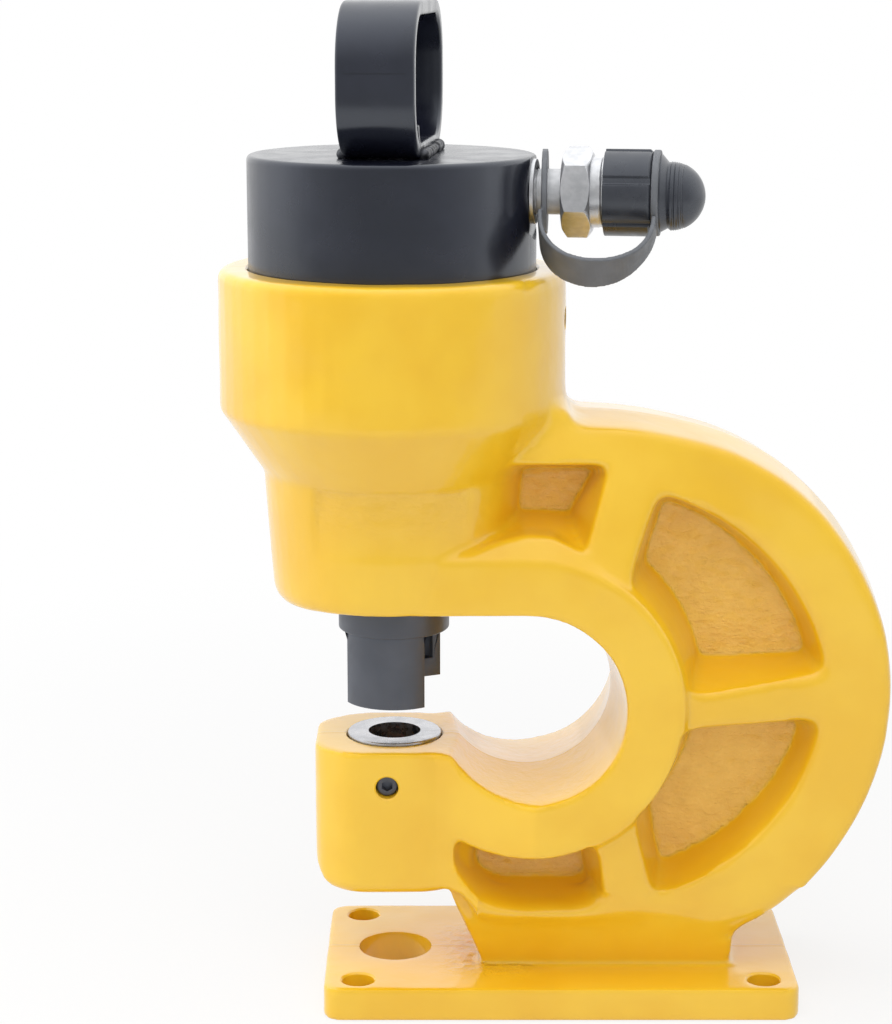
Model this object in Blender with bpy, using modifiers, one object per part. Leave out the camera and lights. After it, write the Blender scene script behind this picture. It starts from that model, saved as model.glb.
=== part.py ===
"""Hydraulic hole punch: a cast C-frame with a screwed-in cylinder, its ram and punch, a stripper and a die.

Lengths are in metres. Every piece is placed from the punch axis, where it meets the base plate's underside.
The object's origin is the middle of that underside, so the punch axis stands at PUNCH_X.
"""

import math

import bmesh
import bpy
from mathutils import Matrix, Vector

# Clearances and counts
GAP = 0.0003
SEAL_GAP = 0.00015
RUN_GAP = 0.0005
OVERRUN = 0.01
FINE_STEPS = 52
BORE_STEPS = 40
ROUND_STEPS = 32
SMALL_STEPS = 20
CORNER_STEPS = 3

# Base plate and its holes
PLATE_LENGTH = 0.191
PLATE_WIDTH = 0.092
PLATE_T = 0.013
PLATE_CORNER_R = 0.007
BOLT_HOLE_R = 0.0065
BOLT_INSET_X = 0.014
BOLT_INSET_Y = 0.011
SLUG_HOLE_R = 0.015
PUNCH_FROM_PLATE_END = 0.0283
PUNCH_X = PUNCH_FROM_PLATE_END - PLATE_LENGTH / 2

# Throat and the flange round it
THROAT_DEPTH = 0.0917
THROAT_FACE_R = 0.0387
THROAT_Z = 0.128
THROAT_X = THROAT_DEPTH - THROAT_FACE_R
THROAT_TOP_Z = THROAT_Z + THROAT_FACE_R
DRAFT_SHARE = 0.0875
FLANGE_HALF = 0.046
FLANGE_W = 0.0222
FLANGE_STEP = 0.004
FLANGE_R = THROAT_FACE_R + FLANGE_W
THROAT_MID_R = THROAT_FACE_R - DRAFT_SHARE * FLANGE_HALF

# Outer rim of the C: an arc from the collar to the base, by the metal above and behind the throat.
# Each pair of RIM_SHARES is an angle from its centre, in degrees, and the rim's share of RIM_R there.
CROWN_DEPTH = 0.0778
BACK_DEPTH = 0.1098
RIM_SINK = 0.0025
RIM_TOP_Z = THROAT_TOP_Z + CROWN_DEPTH
RIM_R = (RIM_TOP_Z + RIM_SINK) / 2
RIM_CENTRE_Z = RIM_TOP_Z - RIM_R
RIM_CENTRE_X = THROAT_DEPTH + BACK_DEPTH - RIM_R
RIM_SHARES = ((103, 0.969), (89, 0.968), (75, 0.971), (60, 0.994), (45, 1.005), (30, 1.002), (15, 0.997))
RIM_SHARES += ((0, 0.981), (-15, 0.962), (-30, 0.943), (-42, 0.93), (-52, 0.914), (-62, 0.899), (-75, 0.883))
RIM_START = 89.0
RIM_END = -57.3
RIM_STEPS = 36
RIM_HALF = 0.030
RIM_SLOPE_END_R = 0.112
RIM_FILLET_R = 0.007
RIB_ROOT_HALF = 0.042

# Jaw and foot
JAW_TOP_DROP = 0.022
JAW_DEPTH = 0.0594
JAW_TOP_Z = THROAT_Z - JAW_TOP_DROP
JAW_BOTTOM_Z = JAW_TOP_Z - JAW_DEPTH
JAW_REACH = 0.032
JAW_HALF = 0.029
JAW_FLAT_LEFT = 0.018
JAW_FLAT_RIGHT = 0.0165
JAW_NOSE_HALF = 0.017
JAW_CORNER_R = 0.006
JAW_EDGE_R = 0.0036
NOSE_ROUND_X = 0.011
NOSE_ROUND_Z = 0.014
JAW_TAPER_X = 0.057
FOOT_SWEEP_X = 0.0198
FOOT_X = 0.0357
FOOT_HALF = 0.020
FOOT_END_X = 0.138
FOOT_SLOPE_DROP = 0.0086
FOOT_SLOPE_Z = JAW_BOTTOM_Z - FOOT_SLOPE_DROP

# Pockets between the ribs, the same on both sides
WEB_HALF = 0.009
POCKET_FLARE = 0.004
POCKET_DRAFT = 0.005
POCKET_CORNER_R = 0.005
CORNER_SHARE = 0.45
UPPER_LEDGE = 0.0046
SMALL_LEDGE = 0.0076
LOWER_LEDGE = 0.0026
RIB_PIVOT_LEDGE = 0.0051
RIM_W = 0.0285
LOWER_RIM_W = 0.0355
LOWER_RIM_SHIFT_X = 0.005
LOWER_RIM_SHIFT_Z = 0.013
SMALL_POCKET_LEFT = 0.030
SMALL_POCKET_CAP = 0.021
BOTTOM_POCKET_LEFT = 0.024
BOTTOM_POCKET_DROP = 0.0037
BOTTOM_POCKET_SHOULDER = 0.0113
BOTTOM_POCKET_SHOULDER_X = 0.040
# Each rib: the angle of its root seen from the throat's centre, its lean, in degrees, and half its width
UPPER_RIB = (60.4, 74.0, 0.0095)
LEVEL_RIB = (-0.9, 3.0, 0.0087)
LOWER_RIB = (-57.0, -79.0, 0.0102)

# Bores in the boss, from the stripper's seat up
STRIPPER_SEAT_DEPTH = 0.0123
STRIPPER_SEAT_Z = THROAT_TOP_Z + STRIPPER_SEAT_DEPTH
NUT_PASSAGE_H = 0.003
NUT_PASSAGE_R = 0.0172
WIPER_R = 0.020
WIPER_T = 0.004
BUSH_R = 0.024
BUSH_LENGTH = 0.022
BUSH_Z = STRIPPER_SEAT_Z + NUT_PASSAGE_H + WIPER_T
BUSH_TOP_Z = BUSH_Z + BUSH_LENGTH
SPRING_POCKET_R = 0.030
SPRING_POCKET_DEPTH = 0.024
BARREL_SEAT_Z = BUSH_TOP_Z + SPRING_POCKET_DEPTH

# Cylinder barrel, and the boss and collar round it
BORE_R = 0.0375
BARREL_WALL = 0.0188
COLLAR_WALL = 0.012
BARREL_R = BORE_R + BARREL_WALL
COLLAR_R = BARREL_R + COLLAR_WALL
BOSS_LOW_R = 0.0482
BOSS_FOOT_R = 0.007
BOSS_FOOT_LIFT = 0.001
BOSS_HIGH_R = 0.0514
BOSS_HEIGHT = 0.050
CONE_HEIGHT = 0.025
COLLAR_HEIGHT = 0.0549
COLLAR_EDGE_R = 0.003
BOSS_TOP_Z = THROAT_TOP_Z + BOSS_HEIGHT
CONE_TOP_Z = BOSS_TOP_Z + CONE_HEIGHT
COLLAR_TOP_Z = CONE_TOP_Z + COLLAR_HEIGHT
BARREL_PROUD = 0.0437
BARREL_CROWN = 0.0373
BARREL_EDGE_R = 0.0018
BARREL_TOP_Z = COLLAR_TOP_Z + BARREL_PROUD
BORE_TOP_Z = BARREL_TOP_Z - BARREL_CROWN
PORT_DROP = 0.0138
PORT_Z = BARREL_TOP_Z - PORT_DROP
PORT_FLAT_DEPTH = 0.0011
PORT_FLAT_X = BARREL_R - PORT_FLAT_DEPTH
PORT_FLAT_R = 0.0185
PORT_THREAD_DEPTH = 0.018
OIL_HOLE_R = 0.0035
OIL_DROP_R = 0.0045
CYLINDER_TURN = 9.0

# Ram
STROKE = 0.020
ROD_R = 0.015
ROD_THREAD_R = 0.012
PISTON_TOP_GAP = 0.001
PISTON_H = 0.0337
PISTON_TOP_Z = BORE_TOP_Z - PISTON_TOP_GAP
PISTON_LOW_Z = PISTON_TOP_Z - PISTON_H
WEAR_RING_RISE = 0.0057
WEAR_RING_H = 0.010
WEAR_RING_T = 0.002
WEAR_RING_Z = PISTON_LOW_Z + WEAR_RING_RISE
SEAL_DROP = 0.012
SEAL_H = 0.007
SEAL_T = 0.0045
SEAL_Z = PISTON_TOP_Z - SEAL_DROP
SPRING_MEAN_R = 0.020
SPRING_WIRE_R = 0.00225
SPRING_TURNS = 7.5
SPRING_POINTS = 10
NUT_R = 0.0165
NUT_LENGTH = 0.0225
NUT_LIP = 0.005
PUNCH_HEAD_H = 0.007
NUT_TOP_Z = STRIPPER_SEAT_Z - RUN_GAP
NUT_LOW_Z = NUT_TOP_Z - NUT_LENGTH
ROD_END_Z = NUT_LOW_Z + NUT_LIP + PUNCH_HEAD_H

# Die, in the jaw, and the stripper over it
DIE_R = 0.019
DIE_SEAT_DEPTH = 0.024
DIE_PROUD = 0.001
DIE_SEAT_Z = JAW_TOP_Z - DIE_SEAT_DEPTH
DIE_TOP_Z = JAW_TOP_Z + DIE_PROUD
DIE_BORE_R = 0.0106
DIE_LAND = 0.006
DIE_RELIEF_R = 0.012
JAW_SLUG_R = 0.013
DAYLIGHT = 0.0145
STRIPPER_RING_R = 0.0223
STRIPPER_BORE_R = 0.0171
STRIPPER_RING_H = 0.028
STRIPPER_RING_Z = STRIPPER_SEAT_Z - STRIPPER_RING_H
STRIPPER_LEG_R = 0.0205
STRIPPER_LEG_HALF = 0.016
STRIPPER_FOOT_Z = DIE_TOP_Z + DAYLIGHT
STRIPPER_FOOT_TOP_Z = NUT_LOW_Z - STROKE - RUN_GAP
STRIPPER_FOOT_BORE_R = 0.0109
STRIPPER_BACK_LIFT = 0.0065
STRIPPER_TURN = 14.0

# Punch
PUNCH_R = 0.01025
PUNCH_HEAD_R = 0.0121
PUNCH_SHY = 0.003
PUNCH_TIP_Z = STRIPPER_FOOT_Z + PUNCH_SHY
PUNCH_PIP_R = 0.003
PUNCH_PIP = 0.0015

# Set screws
SET_SCREW_R = 0.00425
SET_SCREW_SOCKET_R = 0.0024
SET_SCREW_SOCKET_DEPTH = 0.003
DIE_SCREW_X = -0.0025
DIE_SCREW_DROP = 0.0144
DIE_SCREW_Z = JAW_TOP_Z - DIE_SCREW_DROP
DIE_SCREW_LENGTH = 0.006
BARREL_SCREW_DROP = 0.0196
BARREL_SCREW_Z = COLLAR_TOP_Z - BARREL_SCREW_DROP
BARREL_SCREW_LENGTH = 0.008
BARREL_SCREW_TURN = 6.0

# Lifting handle
STRAP_W = 0.0295
STRAP_T = 0.0055
HANDLE_HEIGHT = 0.0583
HANDLE_HALF_DEPTH = 0.050
HANDLE_STRAIGHT = 0.0103
HANDLE_CORNER_R = (HANDLE_HEIGHT - HANDLE_STRAIGHT) / 2
HANDLE_LAP = 0.0085
WELD_LENGTH = 0.0165
WELD_HEIGHT = 0.0025
WELD_LAP = 0.0055
HANDLE_TURN = 6.0

# Adapter and coupler half, along the port's axis from the punch axis
ADAPTER_R = 0.00875
ADAPTER_BORE_R = 0.003
ADAPTER_SHOW = 0.012
HEX_X = PORT_FLAT_X + ADAPTER_SHOW
HEX_LENGTH = 0.0112
HEX_ACROSS = 0.03175
HEX_CHAMFER = 0.0022
HEX_TURN = 24.0
HEX_END_X = HEX_X + HEX_LENGTH
NECK_R = 0.0135
NECK_LENGTH = 0.0207
NECK_END_X = HEX_END_X + NECK_LENGTH
SOCKET_DEPTH = 0.009
VALVE_CAVITY_DEPTH = 0.021
VALVE_CAVITY_X = NECK_END_X - VALVE_CAVITY_DEPTH
VALVE_CAVITY_R = 0.0085
MOUTH_R = 0.0062
MOUTH_LENGTH = 0.003
POPPET_R = 0.0072
POPPET_NOSE_R = 0.0045
POPPET_HEAD = 0.0045
VALVE_SPRING_R = 0.0055
VALVE_SPRING_WIRE_R = 0.0005
VALVE_SPRING_TURNS = 5.5
VALVE_SPRING_POINTS = 8
SEAL_RING_R = 0.0102
SEAL_RING_T = 0.0018
SEAL_RING_X = NECK_END_X - MOUTH_LENGTH * 2 - SEAL_RING_T

# Dust cap and its tether, along the same axis
CAP_STANDOFF = 0.0049
CAP_X = HEX_END_X + CAP_STANDOFF
CAP_FLOOR = 0.0023
CAP_END_X = NECK_END_X + CAP_FLOOR
CAP_R = 0.0166
CAP_NOSE_ROOM = 0.004
CAP_NOSE_ROOM_R = 0.009
CAP_NECK_R = 0.013
CAP_RING_T = 0.0027
CAP_SHOULDER_R = 0.0147
CAP_SHOULDER = 0.0059
CAP_SHOULDER_X = CAP_END_X + CAP_SHOULDER
CAP_STEM = 0.001
CAP_DOME_R = 0.0132
CAP_FLUTES = 16
CAP_FLUTE_DEPTH = 0.0009
TETHER_STANDOFF = 0.0036
TETHER_RING_X = PORT_FLAT_X + TETHER_STANDOFF
TETHER_RING_T = 0.0022
TETHER_RING_R = 0.0175
TETHER_CAP_RING_R = 0.0165
TETHER_W = 0.0135
TETHER_T = 0.0018
TETHER_DROP = 0.0506
TETHER_LEAN = 50.0
TETHER_POINTS = 18

# Places and turns
PORT_AXIS = Vector((0, 0, PORT_Z))
TURN_X = Matrix.Rotation(math.radians(90), 4, "Y")


def clear_scene():
    for old in list(bpy.data.objects):
        bpy.data.objects.remove(old)


def new_collection(name, hidden=False):
    collection = bpy.data.collections.new(name)
    bpy.context.scene.collection.children.link(collection)
    collection.hide_render = hidden
    return collection


def finish_of(name, colour, roughness, metallic):
    material = bpy.data.materials.new(name)
    material.use_nodes = True
    shader = material.node_tree.nodes["Principled BSDF"]
    shader.inputs["Base Color"].default_value = (*colour, 1.0)
    shader.inputs["Roughness"].default_value = roughness
    shader.inputs["Metallic"].default_value = metallic
    return material


def add_object(name, data, collection, turn=0.0, tip=None):
    """Links an object to the punch axis, turned about it, with tip as its own placing there."""
    obj = bpy.data.objects.new(name, data)
    collection.objects.link(obj)
    obj.parent = punch_axis
    obj.matrix_local = Matrix.Rotation(math.radians(turn), 4, "Z") @ (tip or Matrix())
    if collection is cutters:
        obj.hide_render = True
        obj.display_type = "WIRE"
    return obj


def from_bmesh(name, bm, collection, **place):
    mesh = bpy.data.meshes.new(name)
    bm.to_mesh(mesh)
    bm.free()
    return add_object(name, mesh, collection, **place)


def turned(name, profile, collection, steps=ROUND_STEPS, ring=False, **place):
    """Spins (radius, height) points about the local Z axis: down the outer side, a ring's bore last."""
    bm = bmesh.new()
    points = [bm.verts.new((radius, 0, height)) for radius, height in profile]
    for first, second in zip(points, points[1:]):
        bm.edges.new((first, second))
    if ring:
        bm.edges.new((points[-1], points[0]))
    obj = from_bmesh(name, bm, collection, **place)
    screw = obj.modifiers.new("Turn", "SCREW")
    screw.steps = steps
    screw.render_steps = steps
    screw.use_merge_vertices = True
    screw.merge_threshold = 0.00001
    screw.use_smooth_shade = True
    return obj


def loft(name, sections, collection, **place):
    """Skins a closed body over sections that have the same number of points."""
    bm = bmesh.new()
    loops = [[bm.verts.new(point) for point in section] for section in sections]
    for low, high in zip(loops, loops[1:]):
        for index, point in enumerate(low):
            after = (index + 1) % len(low)
            bm.faces.new((point, low[after], high[after], high[index]))
    bm.faces.new(reversed(loops[0]))
    bm.faces.new(loops[-1])
    bmesh.ops.recalc_face_normals(bm, faces=bm.faces)
    return from_bmesh(name, bm, collection, **place)


def plate_shape(name, outlines, half, collection, **place):
    """A flat outline in XY, with holes as further outlines, as thick as twice half about z = 0."""
    curve = bpy.data.curves.new(name, "CURVE")
    curve.dimensions = "2D"
    curve.fill_mode = "BOTH"
    curve.extrude = half
    for outline in outlines:
        spline = curve.splines.new("POLY")
        spline.points.add(len(outline) - 1)
        spline.use_cyclic_u = True
        for point, (x, y) in zip(spline.points, outline):
            point.co = (x, y, 0, 1)
    return as_mesh(name, curve, collection, **place)


def as_mesh(name, curve, collection, **place):
    """Makes a curve with its caps welded into a mesh object."""
    guide = bpy.data.objects.new(name + "_guide", curve)
    cutters.objects.link(guide)
    graph = bpy.context.evaluated_depsgraph_get()
    mesh = bpy.data.meshes.new_from_object(guide.evaluated_get(graph))
    bpy.data.objects.remove(guide)
    bm = bmesh.new()
    bm.from_mesh(mesh)
    bmesh.ops.remove_doubles(bm, verts=bm.verts, dist=GAP / 10)
    bmesh.ops.recalc_face_normals(bm, faces=bm.faces)
    bpy.data.meshes.remove(mesh)
    return from_bmesh(name, bm, collection, **place)


def boolean(body, tool, operation="DIFFERENCE"):
    modifier = body.modifiers.new(tool.name, "BOOLEAN")
    modifier.operation = operation
    modifier.object = tool


def shade(obj, angle=32.0):
    """Applies the modifiers, then shades the round faces smooth between sharp edges."""
    graph = bpy.context.evaluated_depsgraph_get()
    mesh = bpy.data.meshes.new_from_object(obj.evaluated_get(graph))
    mesh.name = obj.name
    obj.modifiers.clear()
    obj.data = mesh
    mesh.shade_smooth()
    mesh.set_sharp_from_angle(angle=math.radians(angle))


def paint(obj, material):
    obj.data.materials.clear()
    obj.data.materials.append(material)
    shade(obj)
    return obj


def arc(centre_x, centre_y, radius, start, end, count):
    """Points from the angle start to the angle end, in degrees, ends included."""
    points = []
    for index in range(count + 1):
        angle = math.radians(start + (end - start) * index / count)
        points.append((centre_x + radius * math.cos(angle), centre_y + radius * math.sin(angle)))
    return points


def circle(radius, steps=ROUND_STEPS, x=0.0, y=0.0):
    return arc(x, y, radius, 0, 360, steps)[:-1]


def rounded_box(half_x, half_y, radius, x=0.0, y=0.0, count=5):
    corners = ((1, 1, 0), (-1, 1, 90), (-1, -1, 180), (1, -1, 270))
    points = []
    for sign_x, sign_y, start in corners:
        centre_x = x + sign_x * (half_x - radius)
        centre_y = y + sign_y * (half_y - radius)
        points += arc(centre_x, centre_y, radius, start, start + 90, count)
    return points


def box(name, x_range, y_range, z_range, collection, **place):
    """A plain block between two values along each axis."""
    (left, right), (front, back) = x_range, y_range
    plan = [(left, front), (right, front), (right, back), (left, back)]
    return loft(name, [[(x, y, z) for x, y in plan] for z in z_range], collection, **place)


def pin(name, radius, low, high, collection=None, steps=ROUND_STEPS, **place):
    """A plain cylinder about the local Z axis, from low to high."""
    bm = bmesh.new()
    bmesh.ops.create_cone(
        bm,
        cap_ends=True,
        segments=steps,
        radius1=radius,
        radius2=radius,
        depth=high - low,
        matrix=Matrix.Translation((0, 0, (low + high) / 2)),
    )
    return from_bmesh(name, bm, collection or cutters, **place)


def along_port(x=0.0):
    """Turns the local Z axis to the port's axis, with its zero at x from the punch axis."""
    return Matrix.Translation(PORT_AXIS + Vector((x, 0, 0))) @ TURN_X


def side_view(points, y):
    return [(x, y, z) for x, z in points]


def rim_point(angle, inset):
    """A point of the outer rim, drawn in by inset, on a smooth curve through the pairs of RIM_SHARES."""
    spans = range(1, len(RIM_SHARES) - 2)
    first = next(index for index in spans if RIM_SHARES[index + 1][0] <= angle)
    (high, _), (low, _) = RIM_SHARES[first], RIM_SHARES[first + 1]
    before, start, end, after = (share for _, share in RIM_SHARES[first - 1 : first + 3])
    along = (high - angle) / (high - low)
    start_slope, end_slope = (end - before) / 2, (after - start) / 2
    bend = 2 * (start - end) + start_slope + end_slope
    sag = 3 * (end - start) - 2 * start_slope - end_slope
    share = start + along * (start_slope + along * (sag + along * bend))
    radius, turn = RIM_R * share - inset, math.radians(angle)
    return RIM_CENTRE_X + radius * math.cos(turn), RIM_CENTRE_Z + radius * math.sin(turn)


def c_outline(inset):
    """Side view of the whole C, filled and drawn in by inset: foot, jaw, fillet by the collar, outer rim."""
    sweep = JAW_BOTTOM_Z - PLATE_T + inset
    points = []
    for index in range(8):
        angle = math.radians(90 - 90 * index / 7)
        swept_x = FOOT_SWEEP_X + (FOOT_X - FOOT_SWEEP_X) * math.sin(angle)
        points.append((swept_x + inset, PLATE_T + sweep * math.cos(angle)))
    fillet_z = rim_point(RIM_START, inset)[1] + RIM_FILLET_R
    points.append((0, JAW_BOTTOM_Z + inset))
    points.append((0, fillet_z))
    points += arc(COLLAR_R + RIM_FILLET_R, fillet_z, RIM_FILLET_R, 180, 262, 4)
    for index in range(RIM_STEPS + 1):
        points.append(rim_point(RIM_START + (RIM_END - RIM_START) * index / RIM_STEPS, inset))
    return points + [(FOOT_END_X - inset, PLATE_T)]


def throat_outline(radius):
    """Side view of the throat, open to the left: the jaw's top, the round end and the line under the boss."""
    start = math.degrees(math.asin((THROAT_Z - JAW_TOP_Z) / radius)) - 180
    left = -COLLAR_R - OVERRUN
    points = [(left, JAW_TOP_Z)]
    points += arc(THROAT_X, THROAT_Z, radius, start, 90, 30)
    points.append((left, THROAT_Z + radius))
    return points


def drafted(name, outline_of, half, collection):
    """A body over the side view outline_of(inset), full at the middle plane and drawn in to its faces."""
    inset = DRAFT_SHARE * half
    sections = [side_view(outline_of(inset), -half), side_view(outline_of(0), 0)]
    sections.append(side_view(outline_of(inset), half))
    return loft(name, sections, collection)


def rib_edge(rib, side, inset):
    """A point and a direction along one edge of a rib, moved away from the rib by inset."""
    root, lean, half = rib
    root, lean = math.radians(root), math.radians(lean)
    along = Vector((math.cos(lean), math.sin(lean)))
    across = Vector((-along.y, along.x)) * side
    pivot_r = FLANGE_R + RIB_PIVOT_LEDGE
    pivot = Vector((THROAT_X, THROAT_Z)) + pivot_r * Vector((math.cos(root), math.sin(root)))
    return pivot + across * (half + inset), along


def edge_meets_circle(edge, centre, radius):
    """Where a rib's edge leaves a circle."""
    point, along = edge
    offset = point - Vector(centre)
    middle = offset.dot(along)
    reach = math.sqrt(middle * middle - offset.length_squared + radius * radius)
    return point + along * (reach - middle)


def angle_at(point, centre):
    return math.degrees(math.atan2(point[1] - centre[1], point[0] - centre[0]))


def arc_between(centre, radius, first, second, count):
    return arc(*centre, radius, angle_at(first, centre), angle_at(second, centre), count)


def fan_pocket(low_rib, high_rib, inner_r, rim_centre, rim_r, inset):
    """A pocket between two ribs, the flange and the rim."""
    throat = (THROAT_X, THROAT_Z)
    low, high = rib_edge(low_rib, 1, inset), rib_edge(high_rib, -1, inset)
    inner, outer = inner_r + inset, rim_r - inset
    inner_ends = [edge_meets_circle(edge, throat, inner) for edge in (high, low)]
    outer_ends = [edge_meets_circle(edge, rim_centre, outer) for edge in (low, high)]
    points = arc_between(throat, inner, *inner_ends, 7)
    return points + arc_between(rim_centre, outer, *outer_ends, 12)


def upper_pocket(inset):
    rim_centre = (RIM_CENTRE_X, RIM_CENTRE_Z)
    return fan_pocket(LEVEL_RIB, UPPER_RIB, FLANGE_R + UPPER_LEDGE, rim_centre, RIM_R - RIM_W, inset)


def lower_pocket(inset):
    rim_centre = (RIM_CENTRE_X + LOWER_RIM_SHIFT_X, RIM_CENTRE_Z + LOWER_RIM_SHIFT_Z)
    return fan_pocket(LOWER_RIB, LEVEL_RIB, FLANGE_R + LOWER_LEDGE, rim_centre, RIM_R - LOWER_RIM_W, inset)


def small_pocket(inset):
    """The pocket beside the boss, above the throat."""
    throat = (THROAT_X, THROAT_Z)
    radius = FLANGE_R + SMALL_LEDGE + inset
    point, along = rib_edge(UPPER_RIB, 1, inset)
    left, top = SMALL_POCKET_LEFT + inset, RIM_TOP_Z - SMALL_POCKET_CAP - inset
    right = edge_meets_circle((point, along), throat, radius)
    rise = math.sqrt(radius * radius - (left - THROAT_X) ** 2)
    points = arc_between(throat, radius, right, (left, THROAT_Z + rise), 5)
    points.append((left, top))
    points.append(tuple(point + along * (top - point.y) / along.y))
    return points


def bottom_pocket(inset):
    """The pocket under the throat, beside the foot."""
    throat = (THROAT_X, THROAT_Z)
    radius = FLANGE_R + LOWER_LEDGE + inset
    point, along = rib_edge(LOWER_RIB, -1, inset)
    left, bottom = BOTTOM_POCKET_LEFT + inset, JAW_BOTTOM_Z - BOTTOM_POCKET_DROP + inset
    right = edge_meets_circle((point, along), throat, radius)
    fall = math.sqrt(radius * radius - (left - THROAT_X) ** 2)
    points = arc_between(throat, radius, (left, THROAT_Z - fall), right, 7)
    points.append(tuple(point + along * (bottom - point.y) / along.y))
    points.append((BOTTOM_POCKET_SHOULDER_X, bottom))
    points.append((left, JAW_BOTTOM_Z + BOTTOM_POCKET_SHOULDER))
    return points


def corners_of(outline):
    """The indices at which a closed outline turns by more than 30 degrees."""
    found = []
    for index, point in enumerate(outline):
        before = Vector(point) - Vector(outline[index - 1])
        after = Vector(outline[(index + 1) % len(outline)]) - Vector(point)
        if before.angle(after) > math.radians(30):
            found.append(index)
    return found


def eased(outline, corners, radius):
    """Rounds these corners of a closed outline, each over less than half of the sides beside it."""
    points = []
    for index, point in enumerate(outline):
        if index not in corners:
            points.append(point)
            continue
        corner = Vector(point)
        ends = []
        for neighbour in (outline[index - 1], outline[(index + 1) % len(outline)]):
            side = Vector(neighbour) - corner
            ends.append(corner + side * min(radius / side.length, CORNER_SHARE))
        for step in range(CORNER_STEPS + 1):
            share = step / CORNER_STEPS
            first, second = ends[0].lerp(corner, share), corner.lerp(ends[1], share)
            points.append(tuple(first.lerp(second, share)))
    return points


def pocket_tool(name, outline_of, side):
    """A cutter that narrows from outside the flange to the web, on one side of the frame."""
    corners = corners_of(outline_of(0))
    mouth = eased(outline_of(-POCKET_FLARE), corners, POCKET_CORNER_R + POCKET_FLARE)
    floor = eased(outline_of(POCKET_DRAFT), corners, POCKET_CORNER_R)
    sections = [side_view(floor, side * WEB_HALF), side_view(mouth, side * (FLANGE_HALF + POCKET_FLARE))]
    return loft(f"{name}_{side}", sections, cutters)


def trim_side(body, side):
    """Cuts one side of the C down to its flange, sloping ribs, thin rim, tapered jaw root and narrow foot."""
    far = RIM_R + RIM_R
    beyond = FLANGE_HALF + OVERRUN
    profile = [(far, beyond), (far, RIM_HALF), (RIM_SLOPE_END_R, RIM_HALF)]
    profile += [(FLANGE_R + FLANGE_STEP / 2, RIB_ROOT_HALF), (FLANGE_R, FLANGE_HALF), (FLANGE_R, beyond)]
    face = Matrix.Translation((THROAT_X, 0, THROAT_Z)) @ Matrix.Rotation(math.radians(-90 * side), 4, "X")
    boolean(body, turned(f"face_{side}", profile, cutters, FINE_STEPS, ring=True, tip=face))

    root = JAW_HALF - GAP
    plan = [(-JAW_REACH, root), (JAW_FLAT_RIGHT, root), (JAW_TAPER_X, FLANGE_HALF + GAP)]
    plan += [(JAW_TAPER_X, beyond), (-JAW_REACH, beyond)]
    heights = (JAW_BOTTOM_Z - OVERRUN, THROAT_Z)
    boolean(body, loft(f"jaw_root_{side}", [[(x, side * y, z) for x, y in plan] for z in heights], cutters))

    foot = [(RIM_HALF + GAP, FOOT_SLOPE_Z), (FOOT_HALF, PLATE_T), (FOOT_HALF, 0), (beyond, 0)]
    foot.append((beyond, FOOT_SLOPE_Z))
    boolean(body, loft(f"foot_{side}", [[(x, side * y, z) for y, z in foot] for x in (0, far)], cutters))

    for name, outline_of in POCKETS:
        boolean(body, pocket_tool(name, outline_of, side))


def collar_profile():
    """Boss, cone and collar, from the collar's top down."""
    edge_z = COLLAR_TOP_Z - COLLAR_EDGE_R
    rim = arc(COLLAR_R - COLLAR_EDGE_R, edge_z, COLLAR_EDGE_R, 90, 0, 3)
    low_z = THROAT_Z + THROAT_MID_R - OVERRUN
    foot_x, foot_z = BOSS_LOW_R - BOSS_FOOT_R, THROAT_Z + THROAT_MID_R + BOSS_FOOT_LIFT + BOSS_FOOT_R
    cone = [(COLLAR_R, CONE_TOP_Z), (BOSS_HIGH_R, BOSS_TOP_Z), *arc(foot_x, foot_z, BOSS_FOOT_R, 0, -90, 3)]
    return [(0, COLLAR_TOP_Z), *rim, *cone, (foot_x, low_z), (0, low_z)]


def jaw_block():
    """The jaw's block, nearly eight-sided in plan, with its lower edges rounded."""
    half = [(-JAW_REACH, JAW_NOSE_HALF), (-JAW_FLAT_LEFT, JAW_HALF), (JAW_FLAT_RIGHT, JAW_HALF)]
    half.append((JAW_FLAT_RIGHT + JAW_REACH / 2, JAW_NOSE_HALF))
    plan = half + [(x, -y) for x, y in reversed(half)]
    bm = bmesh.new()
    bm.faces.new([bm.verts.new((x, y, JAW_BOTTOM_Z)) for x, y in plan])
    bmesh.ops.bevel(
        bm, geom=list(bm.verts), offset=JAW_CORNER_R, segments=3, profile=0.5, affect="VERTICES"
    )
    raised = bmesh.ops.extrude_face_region(bm, geom=list(bm.faces))["geom"]
    top = [item for item in raised if isinstance(item, bmesh.types.BMVert)]
    bmesh.ops.translate(bm, verts=top, vec=(0, 0, THROAT_Z - JAW_BOTTOM_Z))
    bmesh.ops.recalc_face_normals(bm, faces=bm.faces)
    rim = [edge for edge in bm.edges if all(abs(point.co.z - JAW_BOTTOM_Z) < GAP for point in edge.verts)]
    bmesh.ops.bevel(bm, geom=rim, offset=JAW_EDGE_R, segments=3, profile=0.5, affect="EDGES", material=-1)
    return from_bmesh("jaw_block", bm, cutters)


def nose_tool():
    """Rounds the lower corner of the jaw's nose over its whole width."""
    side = JAW_HALF + OVERRUN
    left, low = -JAW_REACH - OVERRUN, JAW_BOTTOM_Z - OVERRUN
    centre_x, centre_z = NOSE_ROUND_X - JAW_REACH, JAW_BOTTOM_Z + NOSE_ROUND_Z
    outline = [(left, centre_z), (left, low), (centre_x, low)]
    for x, z in arc(0, 0, 1, 270, 180, 7):
        outline.append((centre_x + x * (NOSE_ROUND_X + GAP), centre_z + z * (NOSE_ROUND_Z + GAP)))
    return loft("nose", [side_view(outline, -side), side_view(outline, side)], cutters)


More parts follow.
